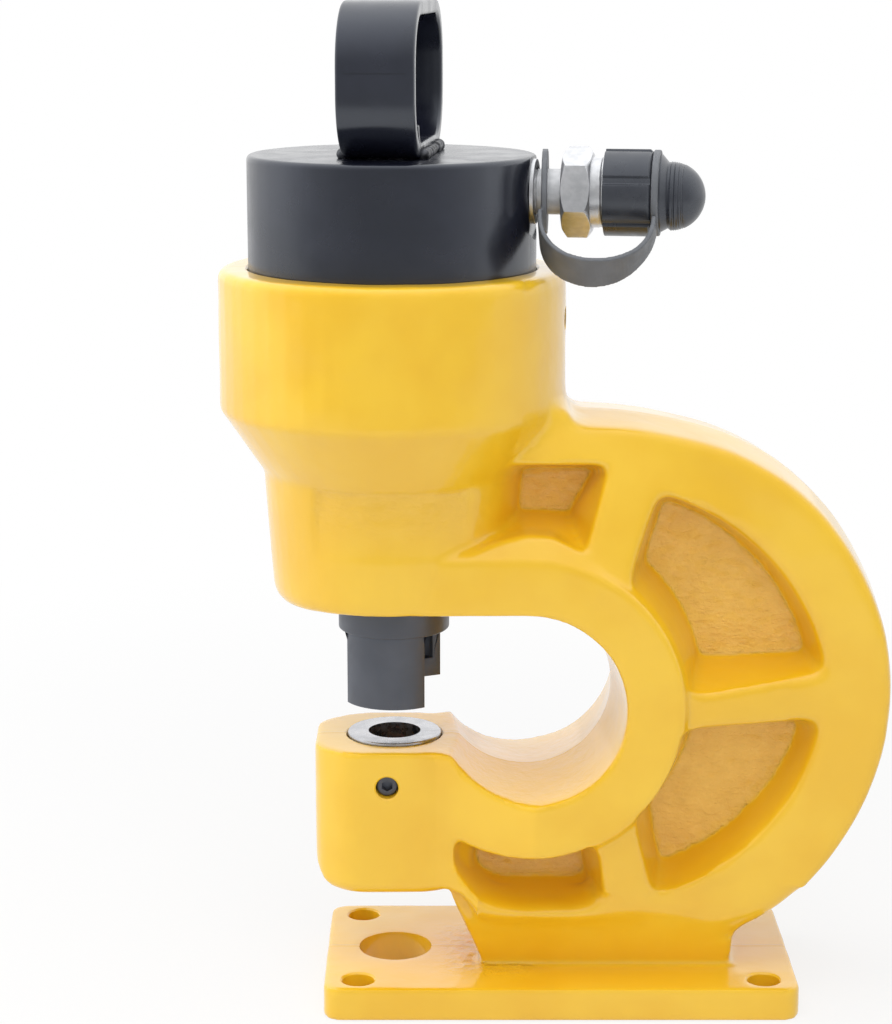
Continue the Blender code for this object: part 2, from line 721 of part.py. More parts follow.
def base_plate():
    """The foot of the casting: a plate with its bolt holes and the slug hole."""
    middle = PLATE_LENGTH / 2 - PUNCH_FROM_PLATE_END
    outlines = [rounded_box(PLATE_LENGTH / 2, PLATE_WIDTH / 2, PLATE_CORNER_R, x=middle)]
    for sign_x in (-1, 1):
        for sign_y in (-1, 1):
            x = middle + sign_x * (PLATE_LENGTH / 2 - BOLT_INSET_X)
            y = sign_y * (PLATE_WIDTH / 2 - BOLT_INSET_Y)
            outlines.append(circle(BOLT_HOLE_R, SMALL_STEPS, x, y))
    outlines.append(circle(SLUG_HOLE_R))
    lift = Matrix.Translation((0, 0, PLATE_T / 2))
    return paint(plate_shape("base_plate", outlines, PLATE_T / 2, parts, tip=lift), YELLOW)


def die_screw_place():
    return Matrix.Translation((DIE_SCREW_X, 0, DIE_SCREW_Z)) @ Matrix.Rotation(math.radians(90), 4, "X")


def barrel_screw_place():
    return Matrix.Translation((0, 0, BARREL_SCREW_Z)) @ TURN_X


def frame_casting():
    """The casting above its base plate: the C with its ribs, the boss and collar, and the jaw."""
    body = drafted("frame_casting", c_outline, FLANGE_HALF, parts)
    for side in (-1, 1):
        trim_side(body, side)
    boolean(body, turned("boss_and_collar", collar_profile(), cutters, FINE_STEPS), "UNION")
    boolean(body, jaw_block(), "UNION")
    boolean(body, nose_tool())
    boolean(body, throat_tool())
    boolean(body, bore_tool())
    boolean(body, pin("die_seat", DIE_R + GAP, DIE_SEAT_Z, THROAT_Z))
    boolean(body, pin("jaw_slug_hole", JAW_SLUG_R, JAW_BOTTOM_Z - OVERRUN, THROAT_Z))
    radius, outside = SET_SCREW_R + GAP, JAW_HALF + OVERRUN
    boolean(body, pin("die_screw_hole", radius, 0, outside, steps=SMALL_STEPS, tip=die_screw_place()))
    place = {"steps": SMALL_STEPS, "turn": -BARREL_SCREW_TURN, "tip": barrel_screw_place()}
    boolean(body, pin("barrel_screw_hole", radius, BORE_R, COLLAR_R + OVERRUN, **place))
    return paint(body, YELLOW)


def throat_tool():
    """The throat's cutter, widest at the faces, so that the casting has its draft and its ridge."""
    half = FLANGE_HALF + OVERRUN
    wide = throat_outline(THROAT_MID_R + DRAFT_SHARE * half)
    sections = [side_view(wide, -half), side_view(throat_outline(THROAT_MID_R), 0), side_view(wide, half)]
    return loft("throat", sections, cutters)


def bore_tool():
    """All that is machined into the boss and collar: barrel bore, spring pocket, bush, wiper, stripper."""
    levels = [
        (BARREL_R + GAP, COLLAR_TOP_Z + OVERRUN, BARREL_SEAT_Z),
        (SPRING_POCKET_R, BARREL_SEAT_Z, BUSH_TOP_Z),
        (BUSH_R + GAP, BUSH_TOP_Z, BUSH_Z),
        (WIPER_R + GAP, BUSH_Z, BUSH_Z - WIPER_T),
        (NUT_PASSAGE_R, BUSH_Z - WIPER_T, STRIPPER_SEAT_Z),
        (STRIPPER_RING_R + GAP, STRIPPER_SEAT_Z, THROAT_Z + THROAT_MID_R - OVERRUN),
    ]
    profile = [(0, levels[0][1])]
    for radius, high, low in levels:
        profile += [(radius, high), (radius, low)]
    profile.append((0, levels[-1][2]))
    return turned("bores", profile, cutters, BORE_STEPS)


def set_screw(name, tip_distance, length, place, turn=0.0):
    """A headless screw whose inner end is at tip_distance along its axis, with a six-sided socket."""
    end = tip_distance + length
    placing = {"turn": turn, "tip": place}
    body = pin(name, SET_SCREW_R, tip_distance, end, parts, SMALL_STEPS, **placing)
    floor = end - SET_SCREW_SOCKET_DEPTH
    boolean(body, pin(name + "_socket", SET_SCREW_SOCKET_R, floor, end + GAP, None, 6, **placing))
    return paint(body, BLACK)


def cylinder_barrel():
    """The barrel: a thick cup, open below, with an oil passage to the port on its side."""
    edge = arc(BARREL_R - BARREL_EDGE_R, BARREL_TOP_Z - BARREL_EDGE_R, BARREL_EDGE_R, 90, 0, 3)
    low = BARREL_SEAT_Z + GAP
    profile = [(0, BARREL_TOP_Z), *edge, (BARREL_R, low), (BORE_R, low)]
    profile += [(BORE_R, BORE_TOP_Z), (0, BORE_TOP_Z)]
    body = turned("cylinder_barrel", profile, parts, FINE_STEPS, turn=-CYLINDER_TURN)
    place = {"turn": -CYLINDER_TURN, "tip": along_port()}
    boolean(body, pin("port_flat", PORT_FLAT_R, PORT_FLAT_X, BARREL_R + OVERRUN, **place))
    place["steps"] = SMALL_STEPS
    thread_end = PORT_FLAT_X - PORT_THREAD_DEPTH
    boolean(body, pin("port_thread", ADAPTER_R + GAP, thread_end, PORT_FLAT_X + OVERRUN, **place))
    boolean(body, pin("oil_passage", OIL_HOLE_R, -OIL_HOLE_R / 2, thread_end + OVERRUN / 2, **place))
    top = PORT_Z + OIL_DROP_R
    boolean(body, pin("oil_drop", OIL_DROP_R, BORE_TOP_Z - OVERRUN, top, steps=SMALL_STEPS))
    return paint(body, BLACK)


def handle_outline(inset):
    """The strap's loop seen along its opening, drawn in by inset, as (across, height) points."""
    half = HANDLE_HALF_DEPTH - inset
    radius = HANDLE_CORNER_R - inset
    middle = BARREL_TOP_Z + GAP + HANDLE_HEIGHT / 2
    return rounded_box(half, HANDLE_HEIGHT / 2 - inset, radius, y=middle, count=7)


def lifting_handle():
    """A flat strap bent to a loop, its inner end turned up behind the front, and two weld beads."""
    face = Matrix(((0, 0, 1, 0), (1, 0, 0, 0), (0, 1, 0, 0), (0, 0, 0, 1)))
    place = {"turn": -HANDLE_TURN, "tip": face}
    loop = [handle_outline(0), handle_outline(STRAP_T)]
    body = plate_shape("lifting_handle", loop, STRAP_W / 2, parts, **place)
    low = BARREL_TOP_Z + GAP
    inner = low + STRAP_T
    lap_y = HANDLE_CORNER_R - HANDLE_HALF_DEPTH
    bend = arc(lap_y, inner + HANDLE_LAP, HANDLE_LAP, 180, 270, 5)
    lap = arc(lap_y, inner + HANDLE_LAP, HANDLE_LAP - STRAP_T / 2, 270, 180, 5)
    end_y = lap_y + HANDLE_LAP
    outline = [(y, z - GAP) for y, z in bend]
    outline += [(end_y, inner - STRAP_T / 2), (end_y, inner + STRAP_T / 2), *lap]
    boolean(body, plate_shape("lap", [outline], STRAP_W / 2 - GAP, cutters, **place), "UNION")
    for sign in (-1, 1):
        toe = sign * (HANDLE_HALF_DEPTH - HANDLE_CORNER_R - WELD_LAP)
        heel, high = toe + sign * WELD_LENGTH, low + WELD_HEIGHT
        bead = [(toe, low), (heel, low), (heel, high), (toe, high)]
        boolean(body, plate_shape(f"bead_{sign}", [bead], STRAP_W / 2 - GAP * 2, cutters, **place), "UNION")
    return paint(body, BLACK)


def piston_rod():
    """Piston and rod in one, with the grooves of its rings and a thinner threaded end for the nut."""
    outer = BORE_R - GAP
    profile = [(0, PISTON_TOP_Z), (outer, PISTON_TOP_Z)]
    for low, height, depth in ((SEAL_Z, SEAL_H, SEAL_T), (WEAR_RING_Z, WEAR_RING_H, WEAR_RING_T)):
        floor = BORE_R - depth - GAP
        profile += [(outer, low + height), (floor, low + height), (floor, low), (outer, low)]
    profile += [(outer, PISTON_LOW_Z), (ROD_R, PISTON_LOW_Z), (ROD_R, NUT_TOP_Z + GAP)]
    profile += [(ROD_THREAD_R, NUT_TOP_Z + GAP), (ROD_THREAD_R, ROD_END_Z), (0, ROD_END_Z)]
    return paint(turned("piston_rod", profile, parts), STEEL)


def ring(name, outer, inner, low, high, material, steps=ROUND_STEPS, **place):
    profile = [(outer, high), (outer, low), (inner, low), (inner, high)]
    return paint(turned(name, profile, parts, steps, ring=True, **place), material)


def ram_rings():
    ring("piston_seal", BORE_R - SEAL_GAP, BORE_R - SEAL_T, SEAL_Z + GAP, SEAL_Z + SEAL_H - GAP, RUBBER)
    low, high = WEAR_RING_Z + GAP, WEAR_RING_Z + WEAR_RING_H - GAP
    ring("piston_wear_ring", BORE_R - SEAL_GAP, BORE_R - WEAR_RING_T, low, high, BRONZE)
    ring("guide_bush", BUSH_R, ROD_R + GAP, BUSH_Z + GAP, BUSH_TOP_Z, BRONZE)
    ring("rod_wiper", WIPER_R, ROD_R + GAP, BUSH_Z - WIPER_T + GAP, BUSH_Z, RUBBER)


def coil(name, mean_r, wire_r, turns, low, high, points, material, **place):
    """One unbroken wire, with its first and last turn closed up."""
    curve = bpy.data.curves.new(name, "CURVE")
    curve.dimensions = "3D"
    curve.bevel_depth = wire_r
    curve.bevel_resolution = 1
    curve.use_fill_caps = True
    spline = curve.splines.new("POLY")
    count = round(turns * points)
    spline.points.add(count)
    rise = high - low - 2 * wire_r
    closed = 2 * wire_r + 2 * GAP
    path = []
    for index, point in enumerate(spline.points):
        turn = index / points
        easing = max(0.0, min(1.0, (turn - 1) / (turns - 2)))
        height = closed * (min(turn, 1.0) + max(0.0, turn - turns + 1)) + (rise - 2 * closed) * easing
        angle = 2 * math.pi * turn
        path.append(Vector((mean_r * math.cos(angle), mean_r * math.sin(angle), low + wire_r + height)))
        point.co = (*path[-1], 1)
    apart = [(path[index + points] - path[index]).length for index in range(count + 1 - points)]
    print(f"{name}: least gap between turns {(min(apart) - 2 * wire_r) * 1000:.2f} mm")
    return paint(as_mesh(name, curve, parts, **place), material)


def return_spring():
    place = (BUSH_TOP_Z + GAP, PISTON_LOW_Z - GAP, SPRING_POINTS)
    return coil("return_spring", SPRING_MEAN_R, SPRING_WIRE_R, SPRING_TURNS, *place, STEEL)


def punch_nut():
    floor = NUT_LOW_Z + NUT_LIP
    bore, lip = ROD_THREAD_R + GAP, PUNCH_R + GAP
    profile = [(NUT_R, NUT_TOP_Z), (NUT_R, NUT_LOW_Z), (lip, NUT_LOW_Z)]
    profile += [(lip, floor), (bore, floor), (bore, NUT_TOP_Z)]
    return paint(turned("punch_nut", profile, parts, ring=True), BLACK)


def punch():
    """The punch hangs by its head in the nut and has a small centring point."""
    head_low, top = NUT_LOW_Z + NUT_LIP + GAP, ROD_END_Z - GAP
    profile = [(0, top), (PUNCH_HEAD_R, top), (PUNCH_HEAD_R, head_low), (PUNCH_R, head_low)]
    profile += [(PUNCH_R, PUNCH_TIP_Z), (PUNCH_PIP_R, PUNCH_TIP_Z), (0, PUNCH_TIP_Z - PUNCH_PIP)]
    return paint(turned("punch", profile, parts), STEEL)


def stripper():
    """A ring screwed into the boss, with two legs and a foot round the punch that is shorter at the back."""
    top = STRIPPER_SEAT_Z - GAP
    profile = [(STRIPPER_RING_R, top), (STRIPPER_RING_R, STRIPPER_RING_Z), (STRIPPER_LEG_R, STRIPPER_RING_Z)]
    profile += [(STRIPPER_LEG_R, STRIPPER_FOOT_Z), (STRIPPER_FOOT_BORE_R, STRIPPER_FOOT_Z)]
    profile += [(STRIPPER_FOOT_BORE_R, STRIPPER_FOOT_TOP_Z), (STRIPPER_BORE_R, STRIPPER_FOOT_TOP_Z)]
    profile.append((STRIPPER_BORE_R, top))
    body = turned("stripper", profile, parts, ring=True, turn=-STRIPPER_TURN)
    far, low = STRIPPER_RING_R + OVERRUN, STRIPPER_FOOT_Z - OVERRUN
    across = (-far, far)
    for side in (-1, 1):
        window = sorted((side * STRIPPER_LEG_HALF, side * far))
        tool = box(f"window_{side}", window, across, (low, STRIPPER_RING_Z), cutters, turn=-STRIPPER_TURN)
        boolean(body, tool)
    lift = (low, STRIPPER_FOOT_Z + STRIPPER_BACK_LIFT)
    boolean(body, box("short_back", across, (GAP, far), lift, cutters, turn=-STRIPPER_TURN))
    return paint(body, BLACK)


def die():
    """The die has a short land and a wider relief below it, where the slugs fall."""
    low, land_z = DIE_SEAT_Z + GAP, DIE_TOP_Z - DIE_LAND
    profile = [(DIE_R, DIE_TOP_Z), (DIE_R, low), (DIE_RELIEF_R, low), (DIE_RELIEF_R, land_z)]
    profile += [(DIE_BORE_R, land_z), (DIE_BORE_R, DIE_TOP_Z)]
    return paint(turned("die", profile, parts, ring=True), STEEL)


def port_adapter():
    low, high = PORT_FLAT_X - PORT_THREAD_DEPTH + GAP, HEX_X + SOCKET_DEPTH - GAP
    place = {"turn": -CYLINDER_TURN, "tip": along_port()}
    return ring("port_adapter", ADAPTER_R, ADAPTER_BORE_R, low, high, ZINC, SMALL_STEPS, **place)


def coupler_body():
    """The coupler half: a chamfered hexagon and a threaded neck, bored for the adapter and the valve."""
    place = {"turn": -CYLINDER_TURN, "tip": along_port()}
    corner, flat = HEX_ACROSS / math.sqrt(3), HEX_ACROSS / 2
    flats = along_port() @ Matrix.Rotation(math.radians(HEX_TURN), 4, "Z")
    body = pin("coupler_body", corner, HEX_X, HEX_END_X, parts, 6, turn=-CYLINDER_TURN, tip=flats)
    barrel = [(0, HEX_END_X + GAP), (flat - GAP, HEX_END_X + GAP), (corner + GAP, HEX_END_X - HEX_CHAMFER)]
    barrel += [(corner + GAP, HEX_X + HEX_CHAMFER), (flat - GAP, HEX_X - GAP), (0, HEX_X - GAP)]
    boolean(body, turned("hex_chamfer", barrel, cutters, BORE_STEPS, **place), "INTERSECT")
    neck = pin("neck", NECK_R, HEX_END_X - OVERRUN / 2, NECK_END_X, None, SMALL_STEPS, **place)
    boolean(body, neck, "UNION")
    socket_end = HEX_X + SOCKET_DEPTH
    mouth_x = NECK_END_X - MOUTH_LENGTH
    bore = [(0, NECK_END_X + GAP), (MOUTH_R, NECK_END_X + GAP), (MOUTH_R, mouth_x), (VALVE_CAVITY_R, mouth_x)]
    bore += [(VALVE_CAVITY_R, VALVE_CAVITY_X), (ADAPTER_BORE_R, VALVE_CAVITY_X), (ADAPTER_BORE_R, socket_end)]
    bore += [(ADAPTER_R + GAP, socket_end), (ADAPTER_R + GAP, HEX_X - GAP), (0, HEX_X - GAP)]
    boolean(body, turned("coupler_bore", bore, cutters, SMALL_STEPS, **place))
    low, high = SEAL_RING_X, SEAL_RING_X + SEAL_RING_T
    boolean(body, pin("seal_groove", SEAL_RING_R + GAP, low, high, None, SMALL_STEPS, **place))
    return paint(body, ZINC)


def coupler_valve():
    """The sprung poppet that shuts the coupler's mouth, its spring and the seal ring round it."""
    place = {"turn": -CYLINDER_TURN, "tip": along_port()}
    shoulder = NECK_END_X - MOUTH_LENGTH - GAP
    head_low = shoulder - POPPET_HEAD
    profile = [(0, NECK_END_X - GAP), (POPPET_NOSE_R, NECK_END_X - GAP), (POPPET_NOSE_R, shoulder)]
    profile += [(POPPET_R, shoulder), (POPPET_R, head_low), (0, head_low)]
    paint(turned("coupler_poppet", profile, parts, SMALL_STEPS, **place), STEEL)
    wire = (VALVE_SPRING_R, VALVE_SPRING_WIRE_R, VALVE_SPRING_TURNS)
    coil("coupler_spring", *wire, VALVE_CAVITY_X + GAP, head_low - GAP, VALVE_SPRING_POINTS, STEEL, **place)
    low, high = SEAL_RING_X + SEAL_GAP, SEAL_RING_X + SEAL_RING_T - SEAL_GAP
    ring("coupler_seal", SEAL_RING_R, POPPET_R + GAP, low, high, RUBBER, SMALL_STEPS, **place)


def fluted_outline():
    """The cap's grip seen along its axis: a circle with shallow grooves."""
    points = []
    for index in range(CAP_FLUTES * 4):
        radius = CAP_R - CAP_FLUTE_DEPTH * (index % 4 > 1)
        angle = 2 * math.pi * index / (CAP_FLUTES * 4)
        points.append((radius * math.cos(angle), radius * math.sin(angle)))
    return points


def dust_cap():
    """A fluted grip, a neck for the tether's ring, a shoulder and a stem with a domed end."""
    middle, half = (CAP_X + CAP_END_X) / 2, (CAP_END_X - CAP_X) / 2
    place = {"turn": -CYLINDER_TURN, "tip": along_port(middle)}
    body = plate_shape("dust_cap", [fluted_outline()], half, parts, **place)
    place["tip"] = along_port()
    neck_end = CAP_END_X + CAP_RING_T + 2 * GAP
    root = CAP_END_X - CAP_FLOOR / 2
    stem_low = CAP_SHOULDER_X - CAP_STEM / 2
    profile = arc(0, CAP_SHOULDER_X + CAP_STEM, CAP_DOME_R, 90, 0, 7)
    profile += [(CAP_DOME_R, CAP_SHOULDER_X), (CAP_SHOULDER_R, stem_low), (CAP_SHOULDER_R, neck_end)]
    profile += [(CAP_NECK_R, neck_end), (CAP_NECK_R, root), (0, root)]
    boolean(body, turned("cap_stem", profile, cutters, SMALL_STEPS, **place), "UNION")
    inside = [(0, NECK_END_X + CAP_NOSE_ROOM), (CAP_NOSE_ROOM_R, NECK_END_X + CAP_NOSE_ROOM)]
    inside += [(CAP_NOSE_ROOM_R, NECK_END_X + RUN_GAP), (NECK_R + GAP, NECK_END_X + RUN_GAP)]
    inside += [(NECK_R + GAP, CAP_X - GAP), (0, CAP_X - GAP)]
    boolean(body, turned("cap_bore", inside, cutters, SMALL_STEPS, **place))
    return paint(body, PLASTIC)


def tether_path(share):
    """The strap's middle line as (along the port's axis, distance below it), from one ring to the other."""
    start_x = TETHER_RING_X + TETHER_RING_T / 2
    end_x = CAP_END_X + GAP + CAP_RING_T / 2
    corners = (
        Vector((start_x, TETHER_RING_R - TETHER_T)),
        Vector((start_x, TETHER_DROP)),
        Vector((end_x, TETHER_DROP)),
        Vector((end_x, TETHER_CAP_RING_R + GAP)),
    )
    weights = ((1 - share) ** 3, 3 * share * (1 - share) ** 2, 3 * share**2 * (1 - share), share**3)
    return sum((corner * weight for corner, weight in zip(corners, weights)), Vector((0, 0)))


def dust_cap_tether():
    """The ring round the adapter and the strap that hangs from it, leaning to the front."""
    lean = math.radians(TETHER_LEAN)
    down = Vector((0, -math.sin(lean), -math.cos(lean)))
    across = Vector((0, -math.cos(lean), math.sin(lean))) * TETHER_W / 2
    sections = []
    for index in range(TETHER_POINTS + 1):
        share = index / TETHER_POINTS
        x, drop = tether_path(share)
        step = 1 / (2 * TETHER_POINTS)
        before, after = tether_path(max(0, share - step)), tether_path(min(1, share + step))
        tangent = (after - before).normalized()
        normal = (Vector((tangent.y, 0, 0)) - down * tangent.x) * TETHER_T / 2
        middle = PORT_AXIS + Vector((x, 0, 0)) + down * drop
        outer, inner = middle + normal, middle - normal
        sections.append([outer + across, inner + across, inner - across, outer - across])
    body = loft("dust_cap_tether", sections, parts, turn=-CYLINDER_TURN)
    low, high = TETHER_RING_X, TETHER_RING_X + TETHER_RING_T
    eye_r = ADAPTER_R + GAP
    profile = [(TETHER_RING_R, high), (TETHER_RING_R, low), (eye_r, low), (eye_r, high)]
    eye = turned("tether_eye", profile, cutters, ring=True, turn=-CYLINDER_TURN, tip=along_port())
    boolean(body, eye, "UNION")
    return paint(body, RUBBER)


def tether_cap_ring():
    low, bore = CAP_END_X + GAP, CAP_NECK_R + GAP
    place = {"turn": -CYLINDER_TURN, "tip": along_port()}
    return ring("tether_cap_ring", TETHER_CAP_RING_R, bore, low, low + CAP_RING_T, RUBBER, **place)


def build():
    frame_casting()
    base_plate()
    cylinder_barrel()
    barrel_tip = BARREL_R + GAP * 2
    set_screw("barrel_lock_screw", barrel_tip, BARREL_SCREW_LENGTH, barrel_screw_place(), -BARREL_SCREW_TURN)
    lifting_handle()
    piston_rod()
    ram_rings()
    return_spring()
    punch_nut()
    punch()
    stripper()
    die()
    die_tip = math.sqrt(DIE_R**2 - DIE_SCREW_X**2) + GAP * 2
    set_screw("die_lock_screw", die_tip, DIE_SCREW_LENGTH, die_screw_place())
    port_adapter()
    coupler_body()
    coupler_valve()
    dust_cap()
    dust_cap_tether()
    tether_cap_ring()


POCKETS = (
    ("small_pocket", small_pocket),
    ("upper_pocket", upper_pocket),
    ("lower_pocket", lower_pocket),
    ("bottom_pocket", bottom_pocket),
)

clear_scene()
parts = new_collection("hydraulic_hole_punch")
cutters = new_collection("cutters", hidden=True)
punch_axis = bpy.data.objects.new("punch_axis", None)
parts.objects.link(punch_axis)
punch_axis.location = (PUNCH_X, 0, 0)
bpy.context.view_layer.update()

YELLOW = finish_of("yellow enamel", (0.86, 0.53, 0.04), 0.3, 0.0)
BLACK = finish_of("black oxide", (0.03, 0.03, 0.035), 0.35, 0.6)
STEEL = finish_of("ground steel", (0.55, 0.55, 0.56), 0.3, 1.0)
ZINC = finish_of("zinc plate", (0.72, 0.73, 0.74), 0.28, 1.0)
BRONZE = finish_of("bronze", (0.6, 0.4, 0.18), 0.35, 1.0)
RUBBER = finish_of("black rubber", (0.02, 0.02, 0.02), 0.6, 0.0)
PLASTIC = finish_of("black plastic", (0.025, 0.025, 0.028), 0.4, 0.0)

build()
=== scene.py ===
# %% [markdown]
# A hydraulic hole punch, dressed for the photograph
# The real tool is one heavy C-shaped iron casting in glossy yellow enamel. A black oil cylinder is screwed
# into its collar, a strap handle is welded on top, and a hose coupler with a dust cap sticks out of the side.
# The frame from CAD holds every part's place. This script builds finer skins round it, with rounded edges,
# threads and weld beads, and it gives each part its own finish.

# %% Load the frame
import math

import bmesh
import bpy
from mathutils import Matrix, Vector, noise


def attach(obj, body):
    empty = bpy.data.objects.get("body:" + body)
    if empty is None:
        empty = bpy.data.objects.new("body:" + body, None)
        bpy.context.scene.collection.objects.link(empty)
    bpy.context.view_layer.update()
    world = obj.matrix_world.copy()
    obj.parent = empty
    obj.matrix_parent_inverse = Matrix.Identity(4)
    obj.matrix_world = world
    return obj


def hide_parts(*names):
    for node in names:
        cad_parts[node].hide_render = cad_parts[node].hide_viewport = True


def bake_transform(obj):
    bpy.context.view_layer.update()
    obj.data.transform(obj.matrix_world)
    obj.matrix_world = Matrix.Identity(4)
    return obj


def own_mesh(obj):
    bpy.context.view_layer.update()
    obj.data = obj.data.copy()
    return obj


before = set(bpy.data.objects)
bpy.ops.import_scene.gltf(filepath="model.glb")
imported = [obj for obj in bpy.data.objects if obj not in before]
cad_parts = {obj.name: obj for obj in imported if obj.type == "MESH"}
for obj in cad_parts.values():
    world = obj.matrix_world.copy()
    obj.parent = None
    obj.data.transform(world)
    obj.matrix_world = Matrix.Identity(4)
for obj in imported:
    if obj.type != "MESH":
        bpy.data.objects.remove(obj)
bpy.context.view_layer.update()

# %% [markdown]
# Where things are
# The punch axis is the line that every bored and turned part shares. The cylinder with its handle and port is
# turned a little about that line, because a threaded barrel stops where its thread stops.
# Each placing is one matrix, so a piece can be made upright at zero and then carried to where it belongs.

# %% Axes and placings
GAP = 0.0003
PUNCH_X = -0.0672
PORT_Z = 0.3265
CYLINDER_TURN = 9.0
HANDLE_TURN = 6.0
STRIPPER_TURN = 14.0
BARREL_SCREW_TURN = 6.0

AT_PUNCH = Matrix.Translation((PUNCH_X, 0, 0))
AT_CYLINDER = AT_PUNCH @ Matrix.Rotation(math.radians(-CYLINDER_TURN), 4, "Z")
ALONG_X = Matrix.Rotation(math.radians(90), 4, "Y")
AT_PORT = AT_CYLINDER @ Matrix.Translation((0, 0, PORT_Z)) @ ALONG_X
print("port axis points to", tuple(round(c, 3) for c in AT_PORT.to_3x3() @ Vector((0, 0, 1))))

# %% [markdown]
# The camera
# A perspective drawing fixes where the eye was: the ellipses of the round parts give its height, and the
# plate's edges give its distance. The eye stood a metre off, a little to the right of the punch, and looked
# down by twelve and a half degrees. The rest of the scene is judged through it, so it comes first.

# %% Camera
camera_data = bpy.data.cameras.new("photo_camera")
camera_data.lens = 87.19
camera_data.sensor_width = 36.0
camera = bpy.data.objects.new("photo_camera", camera_data)
bpy.context.scene.collection.objects.link(camera)
camera.location = (-0.0462, -0.9685, 0.4127)
camera.rotation_euler = (math.radians(90 - 12.5), 0, 0)
camera_data.clip_start, camera_data.clip_end = 0.05, 20
bpy.context.scene.camera = camera
print("camera looks down by 12.5 degrees through a lens of", round(camera_data.lens, 1), "mm")

# %% [markdown]
# Node helpers
# Every finish below is a small node tree. These helpers add a node, join two sockets, and make the two things
# that nearly all paint and metal need: a patch of noise measured in millimetres, and a bump made from it.
# Noise reads Object coordinates, so a pattern stays fixed to the part when the part moves.

# %% Node helpers
def linear(red, green, blue):
    """A colour from 0 to 255, as a painter picks it, in the linear light that shaders use."""
    parts = (red, green, blue)
    return tuple(((c / 255 + 0.055) / 1.055) ** 2.4 if c > 10 else c / 255 / 12.92 for c in parts) + (1.0,)


def new_finish(name, colour, roughness, metallic=0.0, **sockets):
    material = bpy.data.materials.new(name)
    material.use_nodes = True
    shader = material.node_tree.nodes["Principled BSDF"]
    shader.inputs["Base Color"].default_value = colour
    shader.inputs["Roughness"].default_value = roughness
    shader.inputs["Metallic"].default_value = metallic
    for socket, value in sockets.items():
        shader.inputs[socket.replace("_", " ")].default_value = value
    return material


def add_node(material, kind, **settings):
    node = material.node_tree.nodes.new(kind)
    for name, value in settings.items():
        setattr(node, name, value)
    return node


def join(material, source, target):
    material.node_tree.links.new(source, target)


def shader_of(material):
    return material.node_tree.nodes["Principled BSDF"]


def place_of(material, stretch=(1, 1, 1)):
    """Object coordinates, stretched along the axes where a pattern has a direction."""
    coordinates = add_node(material, "ShaderNodeTexCoord")
    mapping = add_node(material, "ShaderNodeMapping")
    mapping.inputs["Scale"].default_value = stretch
    join(material, coordinates.outputs["Object"], mapping.inputs["Vector"])
    return mapping.outputs["Vector"]


def speckle(material, size_mm, detail=3.0, roughness=0.5, stretch=(1, 1, 1)):
    """Noise from 0 to 1 whose blotches are about size_mm across."""
    node = add_node(material, "ShaderNodeTexNoise")
    node.inputs["Scale"].default_value = 1000 / size_mm
    node.inputs["Detail"].default_value = detail
    node.inputs["Roughness"].default_value = roughness
    join(material, place_of(material, stretch), node.inputs["Vector"])
    return node.outputs["Fac"]


def between(material, value, low, high, start=0.0, end=1.0):
    """Maps value from low..high to start..end and holds the ends."""
    node = add_node(material, "ShaderNodeMapRange", interpolation_type="SMOOTHSTEP")
    for socket, number in zip(("From Min", "From Max", "To Min", "To Max"), (low, high, start, end)):
        node.inputs[socket].default_value = number
    join(material, value, node.inputs["Value"])
    return node.outputs["Result"]


def mixed(material, factor, first, second):
    """A colour between two colours. Either may be a colour or a socket."""
    node = add_node(material, "ShaderNodeMix", data_type="RGBA")
    join(material, factor, node.inputs["Factor"])
    for socket, colour in ((node.inputs[6], first), (node.inputs[7], second)):
        if isinstance(colour, tuple):
            socket.default_value = colour
        else:
            join(material, colour, socket)
    return node.outputs[2]


def sum_of(material, first, second, operation="ADD"):
    node = add_node(material, "ShaderNodeMath", operation=operation)
    for socket, value in zip(node.inputs, (first, second)):
        if isinstance(value, (int, float)):
            socket.default_value = value
        else:
            join(material, value, socket)
    return node.outputs[0]


def raise_by(material, heights):
    """Chains bumps, each a (height socket, depth in millimetres), into the shader's normal."""
    normal = None
    for height, depth_mm in heights:
        bump = add_node(material, "ShaderNodeBump")
        bump.inputs["Distance"].default_value = depth_mm / 1000
        join(material, height, bump.inputs["Height"])
        if normal:
            join(material, normal, bump.inputs["Normal"])
        normal = bump.outputs["Normal"]
    join(material, normal, shader_of(material).inputs["Normal"])


def paint_over(material, colour, roughness):
    join(material, colour, shader_of(material).inputs["Base Color"])
    join(material, roughness, shader_of(material).inputs["Roughness"])


def mottled(material, first, second, blotches, patches, least, most, spread=(0.3, 0.7)):
    """Two near colours in blotches, and a roughness from least to most in patches, both as (size in mm, detail)."""
    colour = mixed(material, between(material, speckle(material, *blotches), *spread), first, second)
    paint_over(material, colour, between(material, speckle(material, *patches), 0.3, 0.7, least, most))


print("helpers for finishes are ready")


# %% [markdown]
# Light and floor
# The tool stood in a white tent: light from everywhere, most of it from above and from the left. A dim white
# world gives the even part, and three large lamps model the forms. The lamps are hidden from reflections, since
# gloss would show them as hard squares. Reflections see the world instead: bright behind the tool and above it,
# darker towards the eye, as in a tent that is open in front. The camera itself sees plain white, so the
# background is white without pouring light on the paint.

# %% Lamps
def soft_lamp(name, place, target, size, power):
    data = bpy.data.lights.new(name, "AREA")
    data.shape = "RECTANGLE"
    data.size, data.size_y = size
    data.energy = power
    lamp = bpy.data.objects.new(name, data)
    bpy.context.scene.collection.objects.link(lamp)
    lamp.location = place
    lamp.rotation_euler = (Vector(target) - Vector(place)).to_track_quat("-Z", "Y").to_euler()
    return lamp


